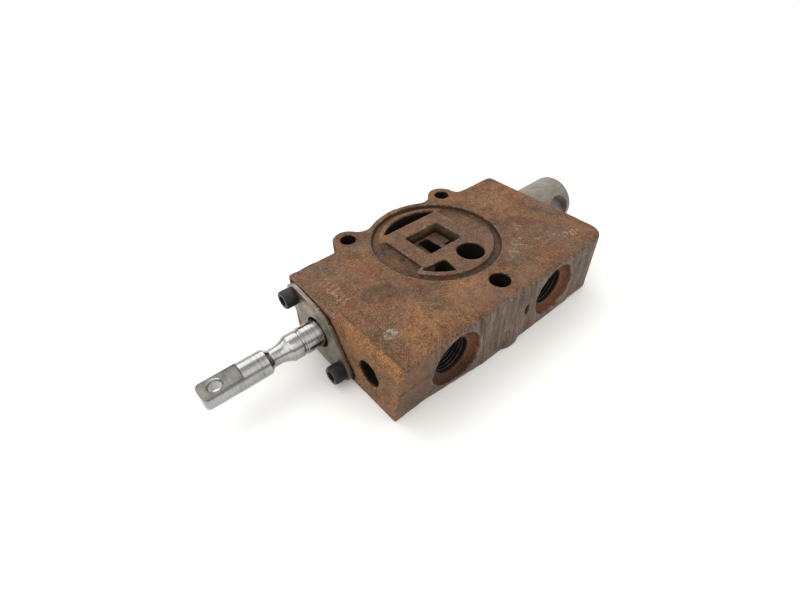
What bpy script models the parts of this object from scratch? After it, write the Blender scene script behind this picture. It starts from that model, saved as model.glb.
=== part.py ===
"""Work section of a stacked hydraulic spool valve: body, spool, seals, retainer plate and spring cap.

Built in the section's own frame: X along the spool (tang at -X, spring cap at +X), -Y towards the work ports,
Z up from the back mating face, X = Y = 0 at the centre of the seal ring groove. One empty then shifts the
whole assembly so that the world origin is the centre of its footprint.
"""

import math

import bmesh
import bpy
from mathutils import Vector

MM = 0.001
GAP = 0.3 * MM  # clearance between neighbouring pieces
TINY_MERGE = 0.00001
OVERRUN = 1.0 * MM  # how far a cutter passes the face it cuts

# Cast block
BODY_HEIGHT = 45.2 * MM
FRONT_X = -96.3 * MM
REAR_X = 92.8 * MM
PORT_FACE_Y = -72.3 * MM
LONG_EDGE_Y = 33.5 * MM
REAR_CORNER_R = 12.0 * MM
PLAIN_CORNER_R = 2.5 * MM
SIDE_EDGE_R = 4.5 * MM
FRONT_EDGE_R = 5.0 * MM
FRONT_EDGE_END_Y = -17.0 * MM
REAR_LOW_EDGE_R = 2.5 * MM
REAR_LOW_EDGE_X = 62.0 * MM
DRAFT_CUT = 4.0 * MM  # how far outside the face the draft cutter starts
PARTING_Z = 27.0 * MM
DRAFT_INSET = 4.4 * MM
DRAFT_X = (-70.0 * MM, -19.0 * MM)  # where the draft starts to fade out, and where it ends

# Round seal flange with its tie-rod ears
FLANGE_R = 48.0 * MM
EAR_A = (-45.0 * MM, 39.4 * MM)
EAR_B = (44.0 * MM, 39.3 * MM)
EAR_R = 10.7 * MM
EAR_FLANGE_FILLET_R = 9.0 * MM
EAR_EDGE_FILLET_R = 6.0 * MM
EAR_HOLE_R = 5.4 * MM
TIE_C = (-1.0 * MM, -56.8 * MM)
TIE_C_HOLE_R = 6.7 * MM
TIE_C_BOSS_R = 17.6 * MM
TIE_C_BOSS_FOOT = 7.0 * MM
TIE_C_PAD_HALF = 12.5 * MM
TIE_C_PAD_INSET = 2.1 * MM  # how far the pad's edge stays back from the port face
TIE_C_PAD_CHAMFER = 3.0 * MM
TIE_C_PAD_Z = 30.0 * MM

# Seal ring groove and the island inside it
GROOVE_OUTER_R = 44.0 * MM
GROOVE_INNER_R = 38.9 * MM
GROOVE_DEPTH = 2.6 * MM
RECESS_DEPTH = 2.0 * MM
RECESS_LEFT_X = -27.5 * MM
RECESS_RIGHT_X = 24.6 * MM
RECESS_LEFT_Y = (-18.5 * MM, 22.0 * MM)
RECESS_RIGHT_Y = (-12.0 * MM, 25.5 * MM)
CORED_R = 1.6 * MM  # rounding in the crescent's two tips
CRESCENT_Y = 26.0 * MM
CRESCENT_R = 36.0 * MM
TRIANGLE_CORNER = (-11.4 * MM, -19.3 * MM)
TRIANGLE_R = 35.3 * MM
QUARTER_CORNER_R = 2.0 * MM
CORE_HOLE = (7.5 * MM, -24.7 * MM)
CORE_HOLE_R = 9.4 * MM
POCKET_X = (-15.4 * MM, 14.5 * MM)
POCKET_Y = (-9.7 * MM, 14.6 * MM)
POCKET_DEPTH = 9.0 * MM
POCKET_CORNER_R = 1.5 * MM
SLOT_HALF = 4.5 * MM
BYPASS_OUT_X = (-12.0 * MM, 11.8 * MM)
BYPASS_OUT_HALF = 2.6 * MM

# Cored galleries as y, front end, rear end and radius, with short links to the bore's grooves
TANK_GALLERY = (22.5 * MM, -74.5 * MM, 63.0 * MM, 5.5 * MM)
PRESSURE_GALLERY = (-20.5 * MM, -31.5 * MM, 23.8 * MM, 4.2 * MM)
LINK_START_Y = 9.0 * MM
LINK_INSET = 2.0 * MM

# Spool bore
SPOOL_Z = BODY_HEIGHT / 2
SPOOL_R = 8.7 * MM
BORE_R = SPOOL_R + GAP
ANNULUS_R = 13.2 * MM
SEAL_BORE_R = 12.0 * MM
SEAL_BORE_DEPTH = 9.3 * MM
ANNULI = ((-78.0, -67.0), (-57.5, -45.5), (-35.0, -25.0), (-15.0, -9.0), (-5.0, 5.0),
          (9.0, 14.6), (17.6, 27.0), (34.0, 46.0), (55.5, 66.5))
SPOOL_WAISTS = ((-76.0, -59.0), (-44.0, -26.0), (-10.0, -3.5), (3.5, 10.0), (18.0, 32.5), (47.5, 64.5))
WAIST_R = 6.2 * MM

# Work ports and the plug hole beside the spool
PORT_X = (-51.5 * MM, 40.0 * MM)
PORT_SPOTFACE_R = 19.0 * MM
PORT_SPOTFACE_DEPTH = 4.6 * MM
PORT_THREAD_R = 12.3 * MM
PORT_THREAD_DEPTH = 26.0 * MM
PORT_CORE_R = 8.0 * MM
PORT_CORE_END = 6.0 * MM
SIDE_HOLE_Y = -46.0 * MM
SIDE_HOLE_R = 8.5 * MM
SIDE_HOLE_DEPTH = 40.0 * MM

# Spool tail, outside the body
STEP_X = -110.8 * MM
TAIL_R = 8.4 * MM
SNAP_GROOVE = (-112.9 * MM, -111.4 * MM)
SNAP_GROOVE_R = 7.8 * MM
CONE_X = (-119.8 * MM, -127.0 * MM)
NECK_R = 5.6 * MM
CONE_STEPS = 5
CONE_CURVE = 1.7  # how fast the cone falls off near the neck
SHOULDER_X = (-131.8 * MM, -134.4 * MM)
TANG_R = 8.0 * MM
TANG_X = -150.3 * MM
TIP_X = -173.9 * MM
TANG_HALF = 4.6 * MM
TIP_ROUND = 3.0 * MM
EYE_X = -164.6 * MM
EYE_R = 4.15 * MM
EYE_CHAMFER = 0.5 * MM

# Retainer plate and the 5/16 in socket screws
PLATE_T = 2.6 * MM
PLATE_DISC_R = 20.5 * MM
PLATE_LOBE_R = 7.6 * MM
PLATE_SCREW = (22.8 * MM, 14.9 * MM)
PLATE_HOLE_R = 10.6 * MM
PLATE_EDGE_R = 0.5 * MM
SCREW_R = 3.95 * MM
SCREW_HEAD_R = 5.95 * MM
SCREW_HEAD_T = 7.9 * MM
SCREW_SOCKET_R = 3.6 * MM
SCREW_SOCKET_T = 4.0 * MM
SCREW_LENGTH = 19.0 * MM
SCREW_EDGE = 0.6 * MM
SCREW_HOLE_R = 4.3 * MM
SCREW_CLEAR_R = 4.5 * MM
REAR_TAP_DEPTH = SCREW_LENGTH - 3.0 * MM
LOCK_WASHER_T = 1.6 * MM
LOCK_WASHER_SLIT = 1.0 * MM

# Spring cap
CAP_X = REAR_X + GAP
CAP_R = 19.1 * MM
CAP_END_X = 136.8 * MM
CAP_END_ROUND = 2.2 * MM
CAP_FLANGE_T = 4.0 * MM
CAP_LOBE_Y = 28.0 * MM
CAP_LOBE_R = 8.5 * MM
CAP_BORE_R = 10.4 * MM
CAP_STEP_X = 122.3 * MM
CAP_TAIL_BORE_R = 8.0 * MM
CAP_TAIL_END_X = 134.3 * MM
CAP_GROOVE_R = (12.9 * MM, 15.5 * MM)
CAP_GROOVE_DEPTH = 2.2 * MM
CAP_SPOT_X = 120.1 * MM
CAP_SPOT_R = 11.5 * MM
CAP_SPOT_OFFSET = 8.8 * MM
CAP_SPOT_FLOOR = 12.0 * MM
CAP_SPOT_ANGLE = math.radians(51.0)

# Centring spring, its seats and the shoulder bolt
SEAT_R = 10.1 * MM
SEAT_T = 2.3 * MM
SEAT_HUB_R = 5.6 * MM
SEAT_HUB_T = 4.0 * MM
SEAT_BORE_R = 4.4 * MM
BOLT_SHOULDER_R = 4.0 * MM
BOLT_THREAD_R = 3.4 * MM
BOLT_THREAD_L = 13.0 * MM
BOLT_HEAD_R = 6.4 * MM
BOLT_HEAD_T = 4.5 * MM
BOLT_SOCKET_R = 2.8 * MM
BOLT_SOCKET_T = 2.6 * MM
SPRING_R = 7.9 * MM
SPRING_WIRE_R = 1.1 * MM
SPRING_END_TURNS = 1.0
SPRING_TURNS = 6.5
SPRING_END_PITCH = 2.45 * MM
SPRING_POINTS_PER_TURN = 18

STEPS_LARGE = 56
STEPS_SMALL = 32
STEPS_SCREW = 28

# Footprint of the whole assembly, which sets where the world origin is
FOOTPRINT_X = (TIP_X, CAP_END_X)
FOOTPRINT_Y = (TIE_C[1] - TIE_C_BOSS_R, EAR_A[1] + EAR_R)

X_AXIS = (0.0, math.pi / 2, 0.0)
MINUS_Y_AXIS = (math.pi / 2, 0.0, 0.0)
Z_AXIS = (0.0, 0.0, 0.0)
YZ_PLANE = (math.pi / 2, 0.0, math.pi / 2)  # outline (y, z), extruded along X
XZ_PLANE = (math.pi / 2, 0.0, 0.0)  # outline (x, z), extruded along Y


def clear_scene():
    for obj in list(bpy.data.objects):
        bpy.data.objects.remove(obj)


def new_collection(name):
    collection = bpy.data.collections.new(name)
    bpy.context.scene.collection.children.link(collection)
    return collection


def make_material(name, colour, roughness, metallic):
    material = bpy.data.materials.new(name)
    material.use_nodes = True
    shader = material.node_tree.nodes["Principled BSDF"]
    shader.inputs["Base Color"].default_value = (*colour, 1.0)
    shader.inputs["Roughness"].default_value = roughness
    shader.inputs["Metallic"].default_value = metallic
    return material


def add_object(name, data, at, rotation, material=None):
    """A new object under the assembly's empty: a part if it has a material, or else a cutter."""
    obj = bpy.data.objects.new(name, data)
    obj.location = at
    obj.rotation_euler = rotation
    obj.parent = ORIGIN
    if material:
        PARTS.objects.link(obj)
        data.materials.append(material)
    else:
        CUTTERS.objects.link(obj)
        obj.hide_render = True
        obj.display_type = "WIRE"
    return obj


def turned(name, profile, at, rotation, material=None, steps=STEPS_SMALL, closed=False):
    """A turned solid. The profile is (radius, height) pairs, down the outer side from top to bottom."""
    points = [(radius, 0.0, height) for radius, height in profile]
    edges = [(i, i + 1) for i in range(len(points) - 1)]
    if closed:
        edges.append((len(points) - 1, 0))
    mesh = bpy.data.meshes.new(name)
    mesh.from_pydata(points, edges, [])
    obj = add_object(name, mesh, at, rotation, material)
    screw = obj.modifiers.new("turn", "SCREW")
    screw.steps = screw.render_steps = steps
    screw.use_merge_vertices = True
    screw.merge_threshold = TINY_MERGE
    screw.use_smooth_shade = True
    return obj


def rod(name, radius, low, high, at, rotation, material=None, steps=STEPS_SMALL):
    return turned(name, [(0, high), (radius, high), (radius, low), (0, low)], at, rotation, material, steps)


def mesh_of_curve(obj):
    """The curve's evaluated shape as a plain mesh object, with its caps welded."""
    bpy.context.view_layer.update()
    graph = bpy.context.evaluated_depsgraph_get()
    mesh = bpy.data.meshes.new_from_object(obj.evaluated_get(graph))
    work = bmesh_from(mesh)
    bmesh.ops.remove_doubles(work, verts=work.verts, dist=TINY_MERGE)
    bmesh.ops.recalc_face_normals(work, faces=work.faces)
    work.to_mesh(mesh)
    work.free()
    name, at, rotation = obj.name, obj.location.copy(), obj.rotation_euler.copy()
    bpy.data.objects.remove(obj)
    return name, mesh, at, rotation


def bmesh_from(mesh):
    work = bmesh.new()
    work.from_mesh(mesh)
    return work


def prism(name, outline, low, high, rotation=Z_AXIS, material=None):
    """A flat outline made solid from low to high along its own normal."""
    curve = bpy.data.curves.new(name, "CURVE")
    curve.dimensions = "2D"
    curve.fill_mode = "BOTH"
    curve.extrude = (high - low) / 2
    spline = curve.splines.new("POLY")
    spline.points.add(len(outline) - 1)
    for point, (u, v) in zip(spline.points, outline):
        point.co = (u, v, 0.0, 1.0)
    spline.use_cyclic_u = True
    middle = Vector((0.0, 0.0, (low + high) / 2))
    guide = add_object(name + "_outline", curve, (0, 0, 0), rotation)
    guide.location = guide.rotation_euler.to_matrix() @ middle
    _, mesh, at, _ = mesh_of_curve(guide)
    return add_object(name, mesh, at, rotation, material)


def boolean(obj, tool, operation="DIFFERENCE"):
    modifier = obj.modifiers.new(tool.name, "BOOLEAN")
    modifier.operation = operation
    modifier.object = tool
    modifier.solver = "EXACT"


def bevel(obj, width, segments=2, angle=35.0):
    modifier = obj.modifiers.new("edges", "BEVEL")
    modifier.width = width
    modifier.segments = segments
    modifier.limit_method = "ANGLE"
    modifier.angle_limit = math.radians(angle)


def arc(centre, radius, start, end, count):
    """Points on a circle from one angle to another, in degrees, both ends included."""
    angles = [math.radians(start + (end - start) * i / (count - 1)) for i in range(count)]
    return [(centre[0] + radius * math.cos(a), centre[1] + radius * math.sin(a)) for a in angles]


def angle_to(centre, point):
    return math.degrees(math.atan2(point[1] - centre[1], point[0] - centre[0]))


def between_circles(first, first_r, second, second_r, fillet_r):
    """Centre of the fillet that touches two circles on the outside, on their +Y side."""
    a, b = Vector(first), Vector(second)
    reach_a, reach_b = first_r + fillet_r, second_r + fillet_r
    apart = (b - a).length
    along = (reach_a**2 - reach_b**2 + apart**2) / (2 * apart)
    aside = math.sqrt(reach_a**2 - along**2)
    direction = (b - a) / apart
    normal = Vector((-direction.y, direction.x))
    if normal.y < 0:
        normal.negate()
    return tuple(a + direction * along + normal * aside)


def convex(centre, radius, from_point, to_point, count):
    """Arc that turns left, between the directions of two points."""
    start = angle_to(centre, from_point)
    end = angle_to(centre, to_point)
    return arc(centre, radius, start, end if end > start else end + 360.0, count)


def concave(centre, radius, from_point, to_point, count):
    start = angle_to(centre, from_point)
    end = angle_to(centre, to_point)
    return arc(centre, radius, start, end if end < start else end - 360.0, count)


def ear_b_side(ear, fillet_flange):
    """From the long edge round ear B towards the flange."""
    edge_fillet = (ear[0] + math.sqrt((EAR_R + EAR_EDGE_FILLET_R) ** 2
                                      - (LONG_EDGE_Y + EAR_EDGE_FILLET_R - ear[1]) ** 2),
                   LONG_EDGE_Y + EAR_EDGE_FILLET_R)
    foot = (edge_fillet[0], LONG_EDGE_Y)
    return (concave(edge_fillet, EAR_EDGE_FILLET_R, foot, ear, 7)
            + convex(ear, EAR_R, edge_fillet, fillet_flange, 16))


def body_outline():
    """Plan of the casting, anticlockwise from the front corner on the port side."""
    centre = (0.0, 0.0)
    fillet_b = between_circles(EAR_B, EAR_R, centre, FLANGE_R, EAR_FLANGE_FILLET_R)
    fillet_a = between_circles(EAR_A, EAR_R, centre, FLANGE_R, EAR_FLANGE_FILLET_R)
    front, rear, port, edge = FRONT_X, REAR_X, PORT_FACE_Y, LONG_EDGE_Y
    small, large = PLAIN_CORNER_R, REAR_CORNER_R
    edge_fillet_a = (EAR_A[0] - math.sqrt((EAR_R + EAR_EDGE_FILLET_R) ** 2
                                          - (edge + EAR_EDGE_FILLET_R - EAR_A[1]) ** 2),
                     edge + EAR_EDGE_FILLET_R)
    outline = arc((front + small, port + small), small, 180, 270, 4)
    outline += arc((rear - large, port + large), large, 270, 360, 9)
    outline += arc((rear - small, edge - small), small, 0, 90, 4)
    outline += ear_b_side(EAR_B, fillet_b)
    outline += concave(fillet_b, EAR_FLANGE_FILLET_R, EAR_B, centre, 6)
    outline += convex(centre, FLANGE_R, fillet_b, fillet_a, 26)
    outline += concave(fillet_a, EAR_FLANGE_FILLET_R, centre, EAR_A, 6)
    outline += convex(EAR_A, EAR_R, fillet_a, edge_fillet_a, 16)
    outline += concave(edge_fillet_a, EAR_EDGE_FILLET_R, EAR_A, (edge_fillet_a[0], edge), 7)
    outline += arc((front + small, edge - small), small, 90, 180, 4)
    return outline


def edge_remover(corner, radius, signs, count=7):
    """Section of what rounding takes off a corner. signs point from the material out to the corner."""
    centre = (corner[0] - signs[0] * radius, corner[1] - signs[1] * radius)
    out = 4 * OVERRUN
    start = 0.0 if signs[0] > 0 else 180.0
    end = 90.0 if signs[1] > 0 else -90.0
    if signs == (-1, -1):
        end = 270.0
    outline = arc(centre, radius, start, end, count)
    outline.append((centre[0], corner[1] + signs[1] * out))
    outline.append((corner[0] + signs[0] * out, corner[1] + signs[1] * out))
    outline.append((corner[0] + signs[0] * out, centre[1]))
    return outline


def cast_edges(body):
    """The rounded long edge, the rounded front edge and the draft below the parting line."""
    top, side = BODY_HEIGHT, PORT_FACE_Y
    long_edge = edge_remover((side, top), SIDE_EDGE_R, (-1, 1))
    boolean(body, prism("cut_side_top_edge", long_edge, FRONT_X - OVERRUN, REAR_X + OVERRUN, YZ_PLANE))
    front_edge = edge_remover((FRONT_X, top), FRONT_EDGE_R, (-1, 1))
    boolean(body, prism("cut_front_top_edge", front_edge, -FRONT_EDGE_END_Y, -1.1 * side, XZ_PLANE))
    outside = side - DRAFT_CUT
    draft = [(outside, PARTING_Z), (side, PARTING_Z), (side + DRAFT_INSET, -OVERRUN), (outside, -OVERRUN)]
    boolean(body, prism("cut_front_draft", draft, FRONT_X - OVERRUN, DRAFT_X[0], YZ_PLANE))
    fade = prism("cut_fading_draft", draft, DRAFT_X[0] - OVERRUN, DRAFT_X[1], YZ_PLANE)
    fade.rotation_euler.z -= math.atan(DRAFT_INSET / (DRAFT_X[1] - DRAFT_X[0]))
    fade.location.y -= DRAFT_INSET / 2
    boolean(body, fade)
    rear_low = edge_remover((side, 0.0), REAR_LOW_EDGE_R, (-1, -1))
    boolean(body, prism("cut_rear_low_edge", rear_low, REAR_LOW_EDGE_X, REAR_X + OVERRUN, YZ_PLANE))


def tie_rod_boss(body):
    """The bulge round the third tie rod, and the flat pad above it that reaches the side face."""
    x, y = TIE_C
    flush = y - PORT_FACE_Y - 0.4 * MM
    profile = [(0, PARTING_Z), (flush, PARTING_Z), (TIE_C_BOSS_R, TIE_C_BOSS_FOOT), (TIE_C_BOSS_R, 0), (0, 0)]
    bulge = turned("add_tie_boss", profile, (x, y, 0), Z_AXIS, steps=STEPS_LARGE)
    boolean(body, bulge, "UNION")
    left, right = x - TIE_C_PAD_HALF, x + TIE_C_PAD_HALF
    edge = PORT_FACE_Y + TIE_C_PAD_INSET
    pad = [(left, y), (left, edge + TIE_C_PAD_CHAMFER), (left + TIE_C_PAD_CHAMFER, edge),
           (right - TIE_C_PAD_CHAMFER, edge), (right, edge + TIE_C_PAD_CHAMFER), (right, y)]
    boolean(body, prism("add_tie_pad", pad, TIE_C_PAD_Z, BODY_HEIGHT, Z_AXIS), "UNION")


def seal_face(body):
    """The ring groove and the two shallow recesses beside the island's frame."""
    top = BODY_HEIGHT
    floor = top - GROOVE_DEPTH
    ring = [(GROOVE_OUTER_R, top + OVERRUN), (GROOVE_OUTER_R, floor), (GROOVE_INNER_R, floor),
            (GROOVE_INNER_R, top + OVERRUN)]
    boolean(body, turned("cut_ring_groove", ring, (0, 0, 0), Z_AXIS, steps=72, closed=True))
    for name, x, sign, (low_y, high_y) in (("left", RECESS_LEFT_X, -1, RECESS_LEFT_Y),
                                           ("right", RECESS_RIGHT_X, 1, RECESS_RIGHT_Y)):
        inner = GROOVE_INNER_R + 0.8 * MM
        start, end = math.degrees(math.asin(low_y / inner)), math.degrees(math.asin(high_y / inner))
        bow = arc((0, 0), inner, start, end, 12)
        outline = [(sign * px, py) for px, py in bow] + [(x, high_y - 3 * MM), (x, low_y + 3 * MM)]
        if sign < 0:
            outline.reverse()
        boolean(body, prism(f"cut_recess_{name}", outline, top - RECESS_DEPTH, top + OVERRUN))


def passage_outlines():
    """Plans of the crescent and the quarter-round passage, which both follow the ring."""
    half = math.degrees(math.acos(CRESCENT_Y / CRESCENT_R))
    crescent = arc((0, 0), CRESCENT_R, 90 - half + 4, 90 + half - 4, 16)
    tip_x, tip_y, round_r = CRESCENT_R * math.sin(math.radians(half - 6)), CRESCENT_Y + CORED_R, CORED_R
    crescent += arc((-tip_x, tip_y), round_r, 170, 270, 4)
    crescent += arc((tip_x, tip_y), round_r, 270, 370, 4)
    corner_x, corner_y = TRIANGLE_CORNER
    first = math.degrees(math.asin(corner_y / TRIANGLE_R))
    last = -math.degrees(math.acos(corner_x / TRIANGLE_R))
    quarter = arc((0, 0), TRIANGLE_R, -180 - first - 3.5, last - 3.5, 10)
    blend = QUARTER_CORNER_R
    quarter += arc((corner_x - blend, corner_y - blend), blend, 0, 90, 4)
    return crescent, quarter


def passages(body):
    """What the sections pass on to each other: four passages, with a stepped pocket on each face."""
    low, high = -OVERRUN, BODY_HEIGHT + OVERRUN
    crescent, quarter = passage_outlines()
    boolean(body, prism("cut_crescent", crescent, low, high))
    boolean(body, prism("cut_quarter", quarter, low, high))
    boolean(body, rod("cut_core_hole", CORE_HOLE_R, low, high, (*CORE_HOLE, 0), Z_AXIS, steps=40))
    x0, x1 = POCKET_X
    y0, y1 = POCKET_Y
    r = POCKET_CORNER_R
    rim = (arc((x0 + r, y0 + r), r, 180, 270, 3) + arc((x1 - r, y0 + r), r, 270, 360, 3)
           + arc((x1 - r, y1 - r), r, 0, 90, 3) + arc((x0 + r, y1 - r), r, 90, 180, 3))
    boolean(body, prism("cut_pocket_top", rim, BODY_HEIGHT - POCKET_DEPTH, high))
    boolean(body, prism("cut_pocket_back", rim, low, POCKET_DEPTH))
    upper, lower = (SPOOL_Z, BODY_HEIGHT - POCKET_DEPTH + OVERRUN), (POCKET_DEPTH - OVERRUN, SPOOL_Z)
    for name, middle, half, (bottom, top) in (("centre", 0.0, SLOT_HALF, upper),
                                              ("front", BYPASS_OUT_X[0], BYPASS_OUT_HALF, lower),
                                              ("rear", BYPASS_OUT_X[1], BYPASS_OUT_HALF, lower)):
        left, right = middle - half, middle + half
        slot = [(left, y0 + r), (right, y0 + r), (right, y1 - r), (left, y1 - r)]
        boolean(body, prism(f"cut_bypass_{name}", slot, bottom, top))
    gallery(body, "tank", *TANK_GALLERY)
    gallery(body, "pressure", *PRESSURE_GALLERY)


def gallery(body, name, y, front, rear, radius):
    """A cored channel beside the bore, joined to it near both ends by a short link."""
    boolean(body, rod(f"cut_{name}_gallery", radius, front, rear, (0, y, SPOOL_Z), X_AXIS, steps=24))
    low_y, high_y = sorted((-y, -math.copysign(LINK_START_Y, y)))
    for x in (front + LINK_INSET, rear - LINK_INSET):
        place = (x, 0, SPOOL_Z)
        boolean(body, rod(f"cut_{name}_link", radius - 0.6 * MM, low_y, high_y, place, MINUS_Y_AXIS, steps=20))


def spool_bore(body):
    """The bore with its annular grooves, and a seal bore at each end, as one turned cutter."""
    outside_front, outside_rear = FRONT_X - OVERRUN, REAR_X + OVERRUN
    profile = [(0, outside_rear), (SEAL_BORE_R, outside_rear), (SEAL_BORE_R, REAR_X - SEAL_BORE_DEPTH),
               (BORE_R, REAR_X - SEAL_BORE_DEPTH)]
    for low, high in reversed(ANNULI):
        profile += [(BORE_R, high * MM), (ANNULUS_R, high * MM), (ANNULUS_R, low * MM), (BORE_R, low * MM)]
    profile += [(BORE_R, FRONT_X + SEAL_BORE_DEPTH), (SEAL_BORE_R, FRONT_X + SEAL_BORE_DEPTH),
                (SEAL_BORE_R, outside_front), (0, outside_front)]
    boolean(body, turned("cut_spool_bore", profile, (0, 0, SPOOL_Z), X_AXIS, steps=32))


def ports_and_holes(body):
    face = -PORT_FACE_Y
    for number, x in enumerate(PORT_X, 1):
        floor = face - PORT_SPOTFACE_DEPTH
        bottom = face - PORT_THREAD_DEPTH
        lead = 1.2 * MM
        profile = [(0, face + 5 * MM), (PORT_SPOTFACE_R, face + 5 * MM), (PORT_SPOTFACE_R, floor),
                   (PORT_THREAD_R + lead, floor), (PORT_THREAD_R, floor - lead), (PORT_THREAD_R, bottom),
                   (PORT_CORE_R, bottom - 3 * MM), (PORT_CORE_R, PORT_CORE_END), (0, PORT_CORE_END)]
        boolean(body, turned(f"cut_port_{number}", profile, (x, 0, SPOOL_Z), MINUS_Y_AXIS, steps=44))
    outside_front, outside_rear = FRONT_X - OVERRUN, REAR_X + OVERRUN
    side_end = FRONT_X + SIDE_HOLE_DEPTH
    place = (0, SIDE_HOLE_Y, SPOOL_Z)
    boolean(body, rod("cut_side_hole", SIDE_HOLE_R, outside_front, side_end, place, X_AXIS, steps=36))
    low, high = -OVERRUN, BODY_HEIGHT + OVERRUN
    tie_rods = (("a", EAR_A, EAR_HOLE_R), ("b", EAR_B, EAR_HOLE_R), ("c", TIE_C, TIE_C_HOLE_R))
    for name, place, radius in tie_rods:
        boolean(body, rod(f"cut_tie_{name}", radius, low, high, (*place, 0), Z_AXIS, steps=30))
    front_tap = (outside_front, FRONT_X + SCREW_LENGTH)
    rear_tap = (REAR_X - REAR_TAP_DEPTH, outside_rear)
    for side, (low, high) in (("plate", front_tap), ("cap", rear_tap)):
        for name, (y, z) in screw_places(side):
            place = (0, y, SPOOL_Z + z)
            boolean(body, rod(f"cut_{side}_screw_{name}", SCREW_HOLE_R, low, high, place, X_AXIS, steps=20))


def screw_places(which):
    """Name and (y, z) of each screw, measured from the spool's axis."""
    if which == "plate":
        y, z = PLATE_SCREW
        return (("upper", (y, z)), ("lower", (-y, -z)))
    return (("left", (CAP_LOBE_Y, 0.0)), ("right", (-CAP_LOBE_Y, 0.0)))


def make_body(material):
    body = prism("section_body", body_outline(), 0.0, BODY_HEIGHT, Z_AXIS, material)
    cast_edges(body)
    tie_rod_boss(body)
    seal_face(body)
    passages(body)
    ports_and_holes(body)
    spool_bore(body)


def make_spool(material):
    """The spool with its lands and waists, the necked tail and the flat tang with its eye."""
    end = REAR_X
    tap_depth = BOLT_THREAD_L + 2 * MM
    profile = [(0, end - tap_depth), (BOLT_THREAD_R + GAP, end - tap_depth), (BOLT_THREAD_R + GAP, end),
               (SPOOL_R - 0.6 * MM, end), (SPOOL_R, end - 0.6 * MM)]
    chamfer = 0.3 * MM
    for low, high in reversed(SPOOL_WAISTS):
        profile += [(SPOOL_R, high * MM + chamfer), (SPOOL_R - chamfer, high * MM), (WAIST_R, high * MM),
                    (WAIST_R, low * MM), (SPOOL_R - chamfer, low * MM), (SPOOL_R, low * MM - chamfer)]
    snap_low, snap_high = SNAP_GROOVE
    flare = 0.2 * MM
    profile += [(SPOOL_R, STEP_X), (TAIL_R, STEP_X - chamfer), (TAIL_R, snap_high),
                (SNAP_GROOVE_R, snap_high - flare), (SNAP_GROOVE_R, snap_low + flare), (TAIL_R, snap_low),
                (TAIL_R, CONE_X[0])]
    for i in range(1, CONE_STEPS + 1):
        share = i / CONE_STEPS
        drop = 1 - (1 - share) ** CONE_CURVE
        profile.append((TAIL_R + (NECK_R - TAIL_R) * drop, CONE_X[0] + (CONE_X[1] - CONE_X[0]) * share))
    profile += [(NECK_R, SHOULDER_X[0]), (TANG_R, SHOULDER_X[1])]
    profile += [(TANG_R - TIP_ROUND + TIP_ROUND * math.cos(a), TIP_X + TIP_ROUND - TIP_ROUND * math.sin(a))
                for a in (math.radians(22.5 * i) for i in range(5))]
    profile.append((0, TIP_X))
    spool = turned("control_spool", profile, (0, 0, SPOOL_Z), X_AXIS, material, steps=40)
    for name, sign in (("upper", 1), ("lower", -1)):
        low, high = sorted((sign * TANG_HALF, sign * 2 * TANG_R))
        flat = [(TIP_X - OVERRUN, SPOOL_Z + low), (TANG_X, SPOOL_Z + low), (TANG_X, SPOOL_Z + high),
                (TIP_X - OVERRUN, SPOOL_Z + high)]
        boolean(spool, prism(f"cut_{name}_flat", flat, -2 * TANG_R, 2 * TANG_R, XZ_PLANE))
    wide, reach = EYE_R + EYE_CHAMFER, TANG_HALF + OVERRUN
    flare = wide + OVERRUN
    eye = [(0, reach), (flare, reach), (wide, TANG_HALF), (EYE_R, TANG_HALF - EYE_CHAMFER),
           (EYE_R, EYE_CHAMFER - TANG_HALF), (wide, -TANG_HALF), (flare, -reach), (0, -reach)]
    boolean(spool, turned("cut_eye", eye, (EYE_X, 0, SPOOL_Z), Z_AXIS, steps=28))


def make_seals(rubber, steel):
    """At each end, from the spool outwards: seal ring, back-up washer and, at the tang end, a wiper."""
    inner, outer = SPOOL_R + GAP, SEAL_BORE_R - GAP
    front, rear = FRONT_X, REAR_X
    ring_r = (outer - inner) / 2
    section = arc((inner + ring_r, 0), ring_r, 0, 330, 12)
    section.reverse()
    for name, x in (("front_spool_seal", front + 7.65 * MM), ("rear_spool_seal", rear - 7.65 * MM)):
        turned(name, section, (x, 0, SPOOL_Z), X_AXIS, rubber, steps=36, closed=True)
    for name, low, high in (("front_backup_washer", front + 4.4 * MM, front + 6.0 * MM),
                            ("rear_backup_washer", rear - 6.0 * MM, rear - GAP)):
        washer = [(outer, high), (outer, low), (inner, low), (inner, high)]
        turned(name, washer, (0, 0, SPOOL_Z), X_AXIS, steel, steps=36, closed=True)
    lip = inner + 0.1 * MM
    wiper = [(outer, front + 4.1 * MM), (outer, front + 0.9 * MM), (lip + 0.9 * MM, front + 0.9 * MM),
             (lip + 0.4 * MM, front + 0.2 * MM), (lip, front + 0.6 * MM), (lip, front + 1.6 * MM),
             (lip + 0.7 * MM, front + 2.4 * MM), (lip + 0.7 * MM, front + 4.1 * MM)]
    turned("front_wiper_ring", wiper, (0, 0, SPOOL_Z), X_AXIS, rubber, steps=36, closed=True)


def lobed_outline(disc_r, lobe_r, lobe, count=17):
    """A round disc joined by straight flanks to two round lobes at lobe and -lobe."""
    apart = math.hypot(*lobe)
    lean = math.degrees(math.atan2(lobe[1], lobe[0]))
    open_angle = math.degrees(math.acos((disc_r - lobe_r) / apart))
    outline = []
    for turn in (0.0, 180.0):
        side = math.radians(lean + turn)
        centre = (apart * math.cos(side), apart * math.sin(side))
        outline += arc(centre, lobe_r, lean + turn - open_angle, lean + turn + open_angle, 9)
        outline += arc((0, 0), disc_r, lean + turn + open_angle, lean + turn + 180 - open_angle, count)
    return outline


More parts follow.
